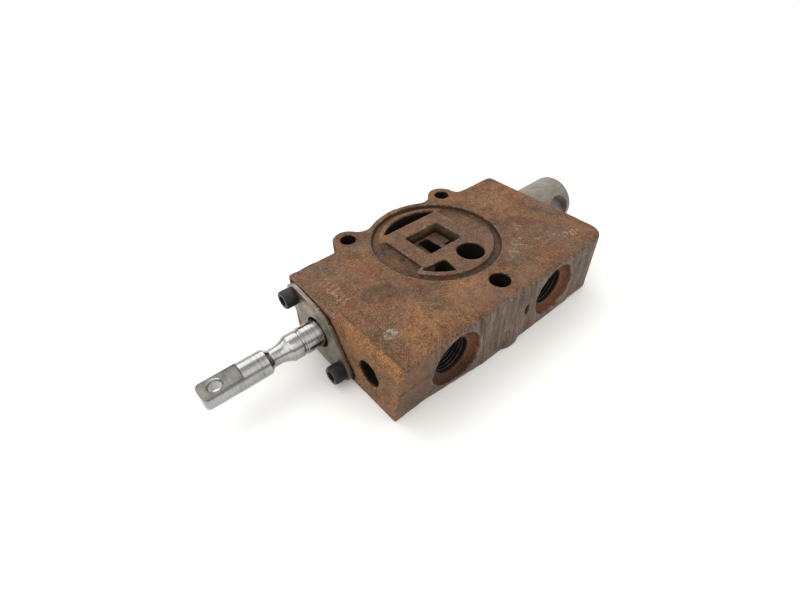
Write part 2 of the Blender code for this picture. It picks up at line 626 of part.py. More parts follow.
def make_plate(material):
    low = FRONT_X - GAP - PLATE_T
    outline = [(y, SPOOL_Z + z) for y, z in lobed_outline(PLATE_DISC_R, PLATE_LOBE_R, PLATE_SCREW)]
    plate = prism("front_retainer_plate", outline, low, low + PLATE_T, YZ_PLANE, material)
    start, end = low - OVERRUN, low + PLATE_T + OVERRUN
    boolean(plate, rod("cut_plate_hole", PLATE_HOLE_R, start, end, (0, 0, SPOOL_Z), X_AXIS, steps=36))
    for name, (y, z) in screw_places("plate"):
        place = (0, y, SPOOL_Z + z)
        boolean(plate, rod(f"cut_plate_clear_{name}", SCREW_CLEAR_R, start, end, place, X_AXIS, steps=20))
    bevel(plate, PLATE_EDGE_R)


def cap_screw(name, y, z, seat_x, outward, material):
    """A socket cap screw whose head sits on seat_x and faces outward, -1 for the front and 1 for the rear."""
    top = seat_x + outward * SCREW_HEAD_T
    tip = seat_x - outward * SCREW_LENGTH
    floor = top - outward * SCREW_SOCKET_T
    edge = SCREW_EDGE
    profile = [(0, top), (SCREW_HEAD_R - edge, top), (SCREW_HEAD_R, top - outward * edge),
               (SCREW_HEAD_R, seat_x), (SCREW_R, seat_x), (SCREW_R, tip + outward * edge),
               (SCREW_R - edge, tip), (0, tip)]
    if outward < 0:
        profile.reverse()
    screw = turned(name, profile, (0, y, SPOOL_Z + z), X_AXIS, material, steps=STEPS_SCREW)
    socket = sorted((floor, top + outward * OVERRUN))
    boolean(screw, rod(f"cut_socket_{name}", SCREW_SOCKET_R, *socket, (0, y, SPOOL_Z + z), X_AXIS, steps=6))


def make_screws(black, steel):
    front_seat = FRONT_X - GAP - PLATE_T - GAP
    for name, (y, z) in screw_places("plate"):
        cap_screw(f"plate_screw_{name}", y, z, front_seat, -1, black)
    washer_low = CAP_X + CAP_FLANGE_T + GAP
    washer_high = washer_low + LOCK_WASHER_T
    outer, inner = SCREW_HEAD_R + 0.5 * MM, SCREW_HOLE_R
    for name, (y, z) in screw_places("cap"):
        cap_screw(f"cap_screw_{name}", y, z, washer_high + GAP, 1, black)
        ring = [(outer, washer_high), (outer, washer_low), (inner, washer_low), (inner, washer_high)]
        place = (0, y, SPOOL_Z + z)
        washer = turned(f"lock_washer_{name}", ring, place, X_AXIS, steel, steps=STEPS_SMALL, closed=True)
        near, far, slit = SPOOL_Z + z + inner - OVERRUN, SPOOL_Z + z + outer + OVERRUN, LOCK_WASHER_SLIT
        split = [(y - slit / 2, near), (y + slit / 2, near), (y + slit, far), (y, far)]
        start, end = washer_low - OVERRUN, washer_high + OVERRUN
        boolean(washer, prism(f"cut_split_{name}", split, start, end, YZ_PLANE))


def make_cap(aluminium, rubber):
    """The spring cap: a cup with a two-lobed flange, and a milled seat on its upper port side."""
    outline = [(y, SPOOL_Z + z) for y, z in lobed_outline(CAP_R, CAP_LOBE_R, (CAP_LOBE_Y, 0.0))]
    cap = prism("spring_cap", outline, CAP_X, CAP_X + CAP_FLANGE_T, YZ_PLANE, aluminium)
    centre_r, centre_x = CAP_R - CAP_END_ROUND, CAP_END_X - CAP_END_ROUND
    corner = [(centre_r + CAP_END_ROUND * math.sin(a), centre_x + CAP_END_ROUND * math.cos(a))
              for a in (math.radians(22.5 * i) for i in range(5))]
    shell = [(0, CAP_END_X)] + corner + [(CAP_R - 0.02 * MM, CAP_X), (0, CAP_X)]
    boolean(cap, turned("add_cap_shell", shell, (0, 0, SPOOL_Z), X_AXIS, steps=STEPS_LARGE), "UNION")
    cavity = [(0, CAP_TAIL_END_X), (CAP_TAIL_BORE_R, CAP_TAIL_END_X), (CAP_TAIL_BORE_R, CAP_STEP_X),
              (CAP_BORE_R, CAP_STEP_X), (CAP_BORE_R, CAP_X - OVERRUN), (0, CAP_X - OVERRUN)]
    boolean(cap, turned("cut_cap_cavity", cavity, (0, 0, SPOOL_Z), X_AXIS, steps=40))
    inner, outer = CAP_GROOVE_R
    bottom, mouth = CAP_X + CAP_GROOVE_DEPTH, CAP_X - OVERRUN
    groove = [(outer, bottom), (outer, mouth), (inner, mouth), (inner, bottom)]
    boolean(cap, turned("cut_cap_groove", groove, (0, 0, SPOOL_Z), X_AXIS, steps=40, closed=True))
    lean = CAP_SPOT_ANGLE
    aside = Vector((0.0, -math.cos(lean), -math.sin(lean))) * CAP_SPOT_OFFSET
    place = Vector((CAP_SPOT_X, 0.0, SPOOL_Z)) + aside
    tilt = (lean, 0.0, 0.0)
    boolean(cap, rod("cut_cap_seat", CAP_SPOT_R, CAP_SPOT_FLOOR, 2 * CAP_R, place, tilt, steps=40))
    flange_top = CAP_X + CAP_FLANGE_T + OVERRUN
    for name, (y, z) in screw_places("cap"):
        place = (0, y, SPOOL_Z + z)
        boolean(cap, rod(f"cut_cap_clear_{name}", SCREW_CLEAR_R, mouth, flange_top, place, X_AXIS, steps=20))
    ring_r = (outer - inner) / 2 - 0.35 * MM
    section = arc(((outer + inner) / 2, 0), ring_r, 0, 330, 12)
    section.reverse()
    turned("cap_face_seal", section, (CAP_X + ring_r, 0, SPOOL_Z), X_AXIS, rubber, steps=40, closed=True)


def seat_profile(back, face, hub):
    """A spring seat from its back face over the spring face to the hub's end, heights in order of X."""
    return [(SEAT_BORE_R, back), (SEAT_BORE_R, hub), (SEAT_HUB_R, hub), (SEAT_HUB_R, face), (SEAT_R, face),
            (SEAT_R, back)]


def make_centring(steel, spring_steel):
    """The spring between two seats on a shoulder bolt, which brings the spool back to its middle."""
    front_back = CAP_X
    front_face = front_back + SEAT_T
    rear_back = CAP_STEP_X - GAP
    rear_face = rear_back - SEAT_T
    front = seat_profile(front_back, front_face, front_face + SEAT_HUB_T)
    turned("spring_seat_front", front, (0, 0, SPOOL_Z), X_AXIS, steel, steps=36, closed=True)
    rear = seat_profile(rear_back, rear_face, rear_face - SEAT_HUB_T)
    rear.reverse()
    turned("spring_seat_rear", rear, (0, 0, SPOOL_Z), X_AXIS, steel, steps=36, closed=True)
    head, edge = CAP_STEP_X, 0.5 * MM
    top = head + BOLT_HEAD_T
    tip = CAP_X - BOLT_THREAD_L
    profile = [(0, top), (BOLT_HEAD_R - edge, top), (BOLT_HEAD_R, top - edge), (BOLT_HEAD_R, head),
               (BOLT_SHOULDER_R, head), (BOLT_SHOULDER_R, CAP_X), (BOLT_THREAD_R, CAP_X),
               (BOLT_THREAD_R, tip + edge), (BOLT_THREAD_R - edge, tip), (0, tip)]
    place = (0, 0, SPOOL_Z)
    bolt = turned("spool_end_bolt", profile, place, X_AXIS, steel, steps=STEPS_SCREW)
    socket = (top - BOLT_SOCKET_T, top + OVERRUN)
    boolean(bolt, rod("cut_bolt_socket", BOLT_SOCKET_R, *socket, place, X_AXIS, steps=6))
    make_spring(front_face + GAP, rear_face - GAP, spring_steel)


def make_spring(front, rear, material):
    """A coil with one close turn at each end."""
    start, end = front + SPRING_WIRE_R, rear - SPRING_WIRE_R
    open_turns = SPRING_TURNS - 2 * SPRING_END_TURNS
    open_pitch = (end - start - 2 * SPRING_END_TURNS * SPRING_END_PITCH) / open_turns
    count = int(SPRING_TURNS * SPRING_POINTS_PER_TURN)
    curve = bpy.data.curves.new("centering_spring", "CURVE")
    curve.dimensions = "3D"
    curve.bevel_depth = SPRING_WIRE_R
    curve.bevel_resolution = 1
    curve.use_fill_caps = True
    spline = curve.splines.new("POLY")
    spline.points.add(count)
    for i, point in enumerate(spline.points):
        turn = SPRING_TURNS * i / count
        middle_turns = min(max(turn - SPRING_END_TURNS, 0.0), open_turns)
        close_turns = turn - middle_turns
        height = start + close_turns * SPRING_END_PITCH + middle_turns * open_pitch
        angle = 2 * math.pi * turn
        point.co = (SPRING_R * math.cos(angle), SPRING_R * math.sin(angle), height, 1.0)
    add_object("centering_spring", curve, (0, 0, SPOOL_Z), X_AXIS, material)


def smooth_round_pieces():
    for obj in PARTS.objects:
        if obj.type == "MESH" and not any(m.type == "SCREW" for m in obj.modifiers):
            obj.data.shade_smooth()
            obj.data.set_sharp_from_angle(angle=math.radians(30))


clear_scene()
PARTS = new_collection("valve_work_section")
CUTTERS = new_collection("cutters")
ORIGIN = bpy.data.objects.new("section_frame", None)
ORIGIN.location = (-sum(FOOTPRINT_X) / 2, -sum(FOOTPRINT_Y) / 2, 0.0)
PARTS.objects.link(ORIGIN)

cast_iron = make_material("rusty_cast_iron", (0.24, 0.13, 0.08), 0.8, 0.2)
chrome = make_material("ground_spool_steel", (0.72, 0.72, 0.73), 0.18, 1.0)
zinc = make_material("zinc_plated_steel", (0.62, 0.61, 0.57), 0.42, 0.9)
black_oxide = make_material("black_oxide_steel", (0.03, 0.03, 0.035), 0.4, 0.7)
alloy = make_material("cast_aluminium", (0.66, 0.65, 0.62), 0.5, 0.85)
nitrile = make_material("nitrile_rubber", (0.02, 0.02, 0.02), 0.6, 0.0)
plain_steel = make_material("plain_steel", (0.5, 0.5, 0.5), 0.35, 1.0)
spring_wire = make_material("spring_wire", (0.35, 0.35, 0.37), 0.35, 1.0)

make_body(cast_iron)
make_spool(chrome)
make_seals(nitrile, plain_steel)
make_plate(zinc)
make_screws(black_oxide, plain_steel)
make_cap(alloy, nitrile)
make_centring(plain_steel, spring_wire)
smooth_round_pieces()
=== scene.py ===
"""Detailed look of the valve work section.

A rusty casting, a chromed spool, a retainer plate, socket screws and a spring cap. Places are in mm from the
centre of the round seal groove, with Z up from the back mating face.
"""

import math

import bmesh
import bpy
import numpy as np
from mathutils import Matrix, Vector


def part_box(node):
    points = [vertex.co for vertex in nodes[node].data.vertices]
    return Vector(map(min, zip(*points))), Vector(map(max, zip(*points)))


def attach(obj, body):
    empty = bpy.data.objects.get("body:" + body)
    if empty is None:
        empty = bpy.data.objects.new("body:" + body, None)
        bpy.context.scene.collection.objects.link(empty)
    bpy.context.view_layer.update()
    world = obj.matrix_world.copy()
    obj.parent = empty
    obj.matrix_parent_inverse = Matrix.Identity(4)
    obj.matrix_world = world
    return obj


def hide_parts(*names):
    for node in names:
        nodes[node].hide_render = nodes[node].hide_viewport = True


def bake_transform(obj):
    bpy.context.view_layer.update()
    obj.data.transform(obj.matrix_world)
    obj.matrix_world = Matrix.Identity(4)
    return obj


MM = 0.001
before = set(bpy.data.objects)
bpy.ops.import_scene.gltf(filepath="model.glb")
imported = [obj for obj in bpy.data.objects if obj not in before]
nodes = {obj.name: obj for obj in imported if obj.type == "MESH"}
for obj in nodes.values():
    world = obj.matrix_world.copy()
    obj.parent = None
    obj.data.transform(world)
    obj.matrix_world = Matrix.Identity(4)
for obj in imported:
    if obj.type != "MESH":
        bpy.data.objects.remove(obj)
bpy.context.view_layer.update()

spool_low, spool_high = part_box("control_spool")
body_low, body_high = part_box("section_body")
SPOOL_LENGTH_TO_RING = 173.9 * MM
RING_X = spool_low.x + SPOOL_LENGTH_TO_RING  # centre of the round seal groove
RING_Y = (spool_low.y + spool_high.y) / 2
TOP_Z = body_high.z


def at(x, y, z=0.0):
    """A point given in mm from the ring centre, in the row frame."""
    return Vector((RING_X + x * MM, RING_Y + y * MM, z * MM))


# ---------------------------------------------------------------- camera, light and stage


def add_camera():
    camera = bpy.data.cameras.new("camera")
    camera.sensor_width = 36.0
    camera.lens = 21.15
    obj = bpy.data.objects.new("camera", camera)
    obj.location = at(-189.7, -183.96, 229.4)
    obj.rotation_euler = [math.radians(a) for a in (47.606, 0.645, -41.018)]
    camera.clip_start = 0.005
    bpy.context.scene.collection.objects.link(obj)
    bpy.context.scene.camera = obj


def area_light(name, location, target, size, power, colour=(1, 1, 1)):
    light = bpy.data.lights.new(name, "AREA")
    light.shape = "RECTANGLE"
    light.size, light.size_y = size
    light.energy = power
    light.color = colour
    obj = bpy.data.objects.new(name, light)
    obj.location = location
    obj.rotation_euler = (Vector(target) - Vector(location)).to_track_quat("-Z", "Y").to_euler()
    bpy.context.scene.collection.objects.link(obj)


def add_world():
    world = bpy.data.worlds.new("studio")
    bpy.context.scene.world = world
    world.use_nodes = True
    tree = world.node_tree
    tree.nodes.clear()
    coords = tree.nodes.new("ShaderNodeTexCoord")
    split = tree.nodes.new("ShaderNodeSeparateXYZ")
    ramp = tree.nodes.new("ShaderNodeValToRGB")
    shade = tree.nodes.new("ShaderNodeBackground")
    out = tree.nodes.new("ShaderNodeOutputWorld")
    tree.links.new(coords.outputs["Generated"], split.inputs[0])
    tree.links.new(split.outputs["Z"], ramp.inputs[0])
    behind = tree.nodes.new("ShaderNodeVectorMath")
    behind.operation = "DOT_PRODUCT"
    behind.inputs[1].default_value = (0.75, 0.66, -1.2)
    tree.links.new(coords.outputs["Generated"], behind.inputs[0])
    glow = tree.nodes.new("ShaderNodeMapRange")
    glow.inputs["From Min"].default_value, glow.inputs["From Max"].default_value = 0.15, 0.60
    tree.links.new(behind.outputs["Value"], glow.inputs["Value"])
    sweep = tree.nodes.new("ShaderNodeMix")
    sweep.data_type = "RGBA"
    sweep.inputs[7].default_value = (1.05, 1.05, 1.04, 1)
    tree.links.new(glow.outputs["Result"], sweep.inputs["Factor"])
    tree.links.new(ramp.outputs[0], sweep.inputs[6])
    tree.links.new(sweep.outputs[2], shade.inputs["Color"])
    tree.links.new(shade.outputs[0], out.inputs[0])
    stops = ramp.color_ramp.elements
    stops[0].position, stops[0].color = 0.0, (0.62, 0.62, 0.63, 1)
    stops[1].position, stops[1].color = 0.13, (0.40, 0.40, 0.41, 1)
    for position, value in ((0.32, 0.50), (0.45, 1.20), (0.60, 1.42), (0.82, 1.35), (0.97, 0.70)):
        stop = stops.new(position)
        stop.color = (value, value, value * 0.985, 1)
    shade.inputs["Strength"].default_value = 1.0


def add_floor():
    mesh = bpy.data.meshes.new("floor")
    reach = 6.0
    corners = [(-reach, -reach, 0), (reach, -reach, 0), (reach, reach, 0), (-reach, reach, 0)]
    mesh.from_pydata(corners, [], [(0, 1, 2, 3)])
    floor = bpy.data.objects.new("floor", mesh)
    floor.location = (0, 0, -0.15 * MM)
    bpy.context.scene.collection.objects.link(floor)
    material = bpy.data.materials.new("pale_table")
    material.use_nodes = True
    shader = material.node_tree.nodes["Principled BSDF"]
    shader.inputs["Base Color"].default_value = (0.95, 0.94, 0.92, 1)
    shader.inputs["Roughness"].default_value = 0.5
    shader.inputs["Specular IOR Level"].default_value = 0.3
    mesh.materials.append(material)


bpy.context.scene.view_settings.view_transform = "Standard"
add_camera()
add_world()
add_floor()
area_light("window", at(-60, 520, 700), at(0, 0, 20), (0.9, 0.7), 2.4, (1.0, 0.99, 0.97))
area_light("room", at(-520, -260, 480), at(0, 0, 20), (0.8, 0.6), 0.9, (1.0, 0.995, 0.985))


# ---------------------------------------------------------------- material helpers


class Nodes:
    """A small wrapper that keeps material code short."""

    def __init__(self, name):
        self.material = bpy.data.materials.new(name)
        self.material.use_nodes = True
        self.tree = self.material.node_tree
        self.shader = self.tree.nodes["Principled BSDF"]
        coords = self.tree.nodes.new("ShaderNodeTexCoord")
        self.place = coords.outputs["Object"]

    def link(self, source, target):
        if isinstance(source, (int, float)):
            target.default_value = source
        elif isinstance(source, tuple):
            target.default_value = (*source, 1.0) if len(source) == 3 else source
        else:
            self.tree.links.new(source, target)

    def noise(self, scale, detail=4.0, rough=0.55, distort=0.0, stretch=None):
        node = self.tree.nodes.new("ShaderNodeTexNoise")
        node.inputs["Scale"].default_value = scale
        node.inputs["Detail"].default_value = detail
        node.inputs["Roughness"].default_value = rough
        node.inputs["Distortion"].default_value = distort
        self.link(self.stretched(stretch) if stretch else self.place, node.inputs["Vector"])
        return node.outputs["Fac"]

    def stretched(self, factors):
        node = self.tree.nodes.new("ShaderNodeVectorMath")
        node.operation = "MULTIPLY"
        self.link(self.place, node.inputs[0])
        node.inputs[1].default_value = factors
        return node.outputs[0]

    def cells(self, scale, feature="F1"):
        node = self.tree.nodes.new("ShaderNodeTexVoronoi")
        node.feature = feature
        node.inputs["Scale"].default_value = scale
        self.link(self.place, node.inputs["Vector"])
        return node.outputs["Distance"]

    def span(self, value, low, high, to_low=0.0, to_high=1.0):
        node = self.tree.nodes.new("ShaderNodeMapRange")
        node.clamp = True
        self.link(value, node.inputs["Value"])
        for name, number in (("From Min", low), ("From Max", high), ("To Min", to_low), ("To Max", to_high)):
            self.link(number, node.inputs[name])
        return node.outputs["Result"]

    def math(self, operation, a, b=0.0):
        node = self.tree.nodes.new("ShaderNodeMath")
        node.operation = operation
        self.link(a, node.inputs[0])
        self.link(b, node.inputs[1])
        return node.outputs[0]

    def mix(self, factor, a, b, blend="MIX"):
        node = self.tree.nodes.new("ShaderNodeMix")
        node.data_type = "RGBA"
        node.blend_type = blend
        self.link(factor, node.inputs["Factor"])
        self.link(a, node.inputs[6])
        self.link(b, node.inputs[7])
        return node.outputs[2]

    def attribute(self, name):
        node = self.tree.nodes.new("ShaderNodeAttribute")
        node.attribute_name = name
        return node.outputs["Fac"]

    def bump(self, height, distance, strength=1.0, after=None):
        node = self.tree.nodes.new("ShaderNodeBump")
        node.inputs["Distance"].default_value = distance
        node.inputs["Strength"].default_value = strength
        self.link(height, node.inputs["Height"])
        if after:
            self.link(after, node.inputs["Normal"])
        return node.outputs[0]

    def finish(self, colour, roughness, metallic=0.0, normal=None):
        self.link(colour, self.shader.inputs["Base Color"])
        self.link(roughness, self.shader.inputs["Roughness"])
        self.link(metallic, self.shader.inputs["Metallic"])
        if normal:
            self.link(normal, self.shader.inputs["Normal"])
        return self.material


# Colours of the casting, as linear red, green and blue
RUST_DARK = (0.072, 0.041, 0.027)
RUST_LIGHT = (0.186, 0.092, 0.046)
RUST_BLOTCH = (0.058, 0.036, 0.025)
RUST_FLECK = (0.270, 0.142, 0.072)
BLOOM_ORANGE = (0.315, 0.138, 0.050)
EMBER_RED = (0.205, 0.070, 0.032)
WORN_IRON = (0.122, 0.092, 0.070)
MILLED_DARK = (0.050, 0.037, 0.029)
MILLED_LIGHT = (0.205, 0.165, 0.135)
RED_OXIDE = (0.135, 0.047, 0.026)
PALE_FILM_AND_HIGHLIGHT = (0.40, 0.345, 0.285)
BRIGHT_SPECK = (0.52, 0.31, 0.155)
DARK_SPECK = (0.034, 0.021, 0.015)
DIRT_AND_SHADE_BLACK = (0.0030, 0.0025, 0.0020)


def rusty_casting():
    """Brown rust with bloom, worn areas, oily dirt, painted shade in the hollows and pale marks with a
    painted edge highlight, steered by the casting's layers.
    """
    n = Nodes("rusty_casting")
    bloom, worn, grime_and_shade = n.attribute("bloom"), n.attribute("worn"), n.attribute("grime_and_shade")
    red, pale, milled = n.attribute("red"), n.attribute("pale"), n.attribute("milled")
    broad = n.noise(38.0, 6.0, 0.62)
    blotch = n.noise(150.0, 6.0, 0.7, 0.6)
    fine = n.noise(700.0, 4.0, 0.75)
    grain = n.noise(1350.0, 3.0, 0.65)
    colour = n.mix(n.span(broad, 0.43, 0.57), RUST_DARK, RUST_LIGHT)
    colour = n.mix(n.span(blotch, 0.50, 0.58, 0.0, 0.8), colour, RUST_BLOTCH)
    colour = n.mix(n.span(fine, 0.50, 0.62, 0.0, 0.7), colour, RUST_FLECK)
    clusters = n.math("ADD", blotch, n.math("MULTIPLY", fine, 0.6))
    rusting = n.math("MULTIPLY", bloom, n.span(clusters, 0.58, 0.90))
    colour = n.mix(n.math("MULTIPLY", rusting, 0.85), colour, BLOOM_ORANGE)
    ember = n.span(n.noise(260.0, 5.0, 0.75, 0.4), 0.56, 0.66, 0.0, 0.6)
    colour = n.mix(ember, colour, EMBER_RED)
    wearing = n.math("MULTIPLY", worn, n.span(fine, 0.3, 0.65, 0.30, 1.0))
    colour = n.mix(wearing, colour, WORN_IRON)
    streaks = n.noise(420.0, 5.0, 0.75, 0.0, (1.0, 1.0, 0.10))
    ground = n.mix(n.span(streaks, 0.40, 0.60), MILLED_DARK, MILLED_LIGHT)
    milling = n.math("MULTIPLY", milled, n.span(blotch, 0.42, 0.62, 0.90, 0.45))
    colour = n.mix(milling, colour, ground)
    colour = n.mix(n.math("MULTIPLY", red, n.span(blotch, 0.3, 0.6, 0.35, 0.95)), colour, RED_OXIDE)
    colour = n.mix(n.math("MULTIPLY", pale, n.span(fine, 0.42, 0.56, 0.15, 1.0)), colour, PALE_FILM_AND_HIGHLIGHT)
    speck = n.span(grain, 0.56, 0.66)
    colour = n.mix(n.math("MULTIPLY", speck, n.span(bloom, 0.0, 1.0, 0.35, 1.0)), colour, BRIGHT_SPECK)
    patchy = n.span(n.noise(90.0, 4.0, 0.7, 0.8), 0.45, 0.60, 0.15, 0.85)
    dark_speck = n.math("MULTIPLY", patchy, n.span(n.noise(820.0, 5.0, 0.75), 0.52, 0.60))
    colour = n.mix(dark_speck, colour, DARK_SPECK)
    # Near-black mix: oily dirt together with painted shade in the passages, hollows, grooves and round the
    # plate.
    dirt_and_shade = n.math("MULTIPLY", grime_and_shade, n.span(fine, 0.25, 0.6, 0.93, 1.0))
    colour = n.mix(dirt_and_shade, colour, DIRT_AND_SHADE_BLACK)
    roughness = n.math("MAXIMUM", n.span(fine, 0.3, 0.7, 0.60, 0.82), n.math("MULTIPLY", grime_and_shade, 0.98))
    roughness = n.math("SUBTRACT", roughness, n.math("MULTIPLY", n.math("MAXIMUM", worn, milled), 0.18))
    metallic = n.math("MULTIPLY", n.math("MAXIMUM", worn, milled), 0.15)
    n.shader.inputs["Specular IOR Level"].default_value = 0.12
    rough_amount = n.span(milled, 0.0, 1.0, 1.0, 0.45)
    normal = n.bump(fine, 0.40 * MM, 0.8)
    normal = n.bump(n.math("MULTIPLY", grain, rough_amount), 0.22 * MM, 0.9, normal)
    normal = n.bump(n.math("MULTIPLY", streaks, milled), 0.25 * MM, 0.5, normal)
    return n.finish(colour, roughness, metallic, normal)


def chrome_steel():
    """Hard chrome with faint turning lines, smears and a few dark pits."""
    n = Nodes("spool_chrome")
    smear = n.noise(160.0, 4.0, 0.6, 0.5)
    rings = n.noise(900.0, 3.0, 0.6, 0.0, (1.0, 0.02, 0.02))
    pits = n.span(n.cells(170.0), 0.06, 0.10)
    stain = n.span(n.noise(60.0, 5.0, 0.7), 0.52, 0.75, 0.0, 0.5)
    colour = n.mix(stain, (0.40, 0.395, 0.385), (0.21, 0.20, 0.18))
    colour = n.mix(n.span(rings, 0.42, 0.62, 0.0, 0.4), colour, (0.21, 0.21, 0.208))
    colour = n.mix(pits, (0.10, 0.085, 0.07), colour)
    roughness = n.math("ADD", n.span(smear, 0.3, 0.7, 0.13, 0.24), n.math("MULTIPLY", stain, 0.2))
    normal = n.bump(rings, 0.03 * MM, 0.35)
    normal = n.bump(pits, 0.10 * MM, 0.6, normal)
    return n.finish(colour, roughness, 1.0, normal)


def tang_steel():
    """The milled flats of the tang: duller, with cutter marks across."""
    n = Nodes("tang_flats")
    marks = n.noise(1400.0, 3.0, 0.6, 0.0, (1.0, 0.06, 0.3))
    smear = n.noise(120.0, 5.0, 0.65, 0.4)
    colour = n.mix(n.span(smear, 0.38, 0.68), (0.128, 0.123, 0.109), (0.078, 0.072, 0.060))
    colour = n.mix(n.span(marks, 0.4, 0.65, 0.0, 0.35), colour, (0.25, 0.243, 0.222))
    normal = n.bump(marks, 0.05 * MM, 0.5)
    return n.finish(colour, n.span(smear, 0.3, 0.7, 0.30, 0.46), 0.92, normal)


def plate_steel():
    """Dull plated sheet with a brownish film and fine scratches."""
    n = Nodes("retainer_steel")
    film = n.noise(110.0, 5.0, 0.65, 0.5)
    scratch = n.noise(900.0, 4.0, 0.7, 0.0, (1.0, 0.12, 1.0))
    specks = n.span(n.noise(1000.0, 3.0, 0.6), 0.62, 0.74, 0.0, 0.7)
    colour = n.mix(n.span(film, 0.36, 0.66), (0.235, 0.205, 0.163), (0.135, 0.110, 0.082))
    colour = n.mix(n.span(scratch, 0.5, 0.7, 0.0, 0.45), colour, (0.34, 0.305, 0.255))
    colour = n.mix(specks, colour, (0.12, 0.075, 0.045))
    normal = n.bump(scratch, 0.05 * MM, 0.5)
    return n.finish(colour, n.span(film, 0.3, 0.7, 0.34, 0.5), 0.85, normal)


def black_steel():
    n = Nodes("black_oxide")
    film = n.noise(350.0, 4.0, 0.6)
    wear = n.span(n.noise(900.0, 3.0, 0.7), 0.60, 0.75, 0.0, 0.6)
    colour = n.mix(n.span(film, 0.35, 0.7), (0.018, 0.018, 0.019), (0.042, 0.039, 0.035))
    colour = n.mix(wear, colour, (0.12, 0.105, 0.09))
    return n.finish(colour, n.span(film, 0.3, 0.7, 0.34, 0.52), 0.6, n.bump(film, 0.08 * MM, 0.4))


def cap_alloy():
    """Satin metal, bead-blasted, with grey blotches and some rust-coloured dust."""
    n = Nodes("cap_alloy")
    blotch = n.noise(95.0, 6.0, 0.68, 0.6)
    dust = n.span(n.noise(260.0, 5.0, 0.7), 0.55, 0.75, 0.0, 0.5)
    blast = n.noise(2600.0, 2.0, 0.5)
    colour = n.mix(n.span(blotch, 0.36, 0.68), (0.285, 0.262, 0.222), (0.19, 0.166, 0.132))
    colour = n.mix(dust, colour, (0.19, 0.135, 0.09))
    return n.finish(colour, n.span(blotch, 0.3, 0.7, 0.42, 0.58), 0.75, n.bump(blast, 0.06 * MM, 0.6))


def simple_metal(name, light, dark, rough):
    n = Nodes(name)
    turning = n.noise(1200.0, 3.0, 0.6, 0.0, (1.0, 0.05, 0.05))
    film = n.noise(200.0, 4.0, 0.6)
    colour = n.mix(n.span(film, 0.35, 0.65), light, dark)
    roughness = n.span(turning, 0.3, 0.7, rough, rough + 0.12)
    return n.finish(colour, roughness, 1.0, n.bump(turning, 0.04 * MM, 0.4))


def rubber():
    n = Nodes("nitrile_rubber")
    film = n.noise(500.0, 3.0, 0.6)
    colour = n.mix(film, (0.012, 0.012, 0.012), (0.03, 0.029, 0.027))
    return n.finish(colour, 0.55, 0.0, n.bump(film, 0.05 * MM, 0.3))


CAST = rusty_casting()
CHROME = chrome_steel()
TANG = tang_steel()
PLATE = plate_steel()
BLACK = black_steel()
CAP = cap_alloy()
STEEL = simple_metal("plain_steel", (0.42, 0.41, 0.40), (0.30, 0.29, 0.275), 0.3)
WIRE = simple_metal("spring_wire", (0.22, 0.22, 0.23), (0.13, 0.13, 0.135), 0.3)
RUBBER = rubber()


# ---------------------------------------------------------------- mesh helpers


def new_piece(name, mesh, body, slot, stands_for, *materials):
    obj = bpy.data.objects.new(name, mesh)
    bpy.context.scene.collection.objects.link(obj)
    for material in materials:
        mesh.materials.append(material)
    if body:
        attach(obj, body)
    if stands_for:
        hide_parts(*stands_for)
    return obj


def applied(obj):
    """The object's evaluated mesh, as a new mesh."""
    bpy.context.view_layer.update()
    graph = bpy.context.evaluated_depsgraph_get()
    return bpy.data.meshes.new_from_object(obj.evaluated_get(graph))


def helper(name, mesh):
    obj = bpy.data.objects.new(name, mesh)
    bpy.context.scene.collection.objects.link(obj)
    return obj


def drop(obj):
    bpy.data.objects.remove(obj)


def ring_surface(rings, place):
    """A closed solid from rings of (radius function or number, height), first and last closed with a fan.

    place turns (across, up, height) into a point of the row frame."""
    work = bmesh.new()
    count = 144
    rows = []
    for radius, height in rings:
        row = []
        for i in range(count):
            a = 2 * math.pi * i / count
            r = radius(a) if callable(radius) else radius
            row.append(work.verts.new(place(r * math.cos(a), r * math.sin(a), height)))
        rows.append(row)
    for first, second in zip(rows, rows[1:]):
        for i in range(count):
            j = (i + 1) % count
            work.faces.new((first[i], first[j], second[j], second[i]))
    for row in (rows[0], rows[-1]):
        centre = work.verts.new(sum((v.co for v in row), Vector()) / count)
        for i in range(count):
            work.faces.new((row[i], row[(i + 1) % count], centre))
    bmesh.ops.recalc_face_normals(work, faces=work.faces)
    mesh = bpy.data.meshes.new("ring_surface")
    work.to_mesh(mesh)
    work.free()
    return mesh


def smooth(mesh, angle=30.0):
    mesh.shade_smooth()
    mesh.set_sharp_from_angle(angle=math.radians(angle))


def refined(name, node, body, slot, material, bevel=0.0, angle=30.0, merge=True):
    """A CAD node's own shape with welded, smooth-shaded faces and its sharp edges eased."""
    mesh = nodes[node].data.copy()
    mesh.materials.clear()
    work = bmesh.new()
    work.from_mesh(mesh)
    bmesh.ops.remove_doubles(work, verts=work.verts, dist=2e-6)
    if merge:
        bmesh.ops.dissolve_limit(work, angle_limit=math.radians(0.6), verts=work.verts, edges=work.edges)
    work.to_mesh(mesh)
    work.free()
    if bevel:
        rough = helper("rough_" + name, mesh)
        modifier = rough.modifiers.new("eased", "BEVEL")
        modifier.width = bevel
        modifier.segments = 2
        modifier.limit_method = "ANGLE"
        modifier.angle_limit = math.radians(angle)
        mesh = applied(rough)
        drop(rough)
    smooth(mesh, angle)
    return new_piece(name, mesh, body, slot, (node,), material)


# ---------------------------------------------------------------- the casting


VOXEL = 0.00065


def arrays(mesh):
    count = len(mesh.vertices)
    points, normals = np.empty(count * 3, np.float32), np.empty(count * 3, np.float32)
    mesh.vertices.foreach_get("co", points)
    mesh.vertices.foreach_get("normal", normals)
    return points.reshape(-1, 3).astype(float), normals.reshape(-1, 3).astype(float)


TABLE_SIZE = 64


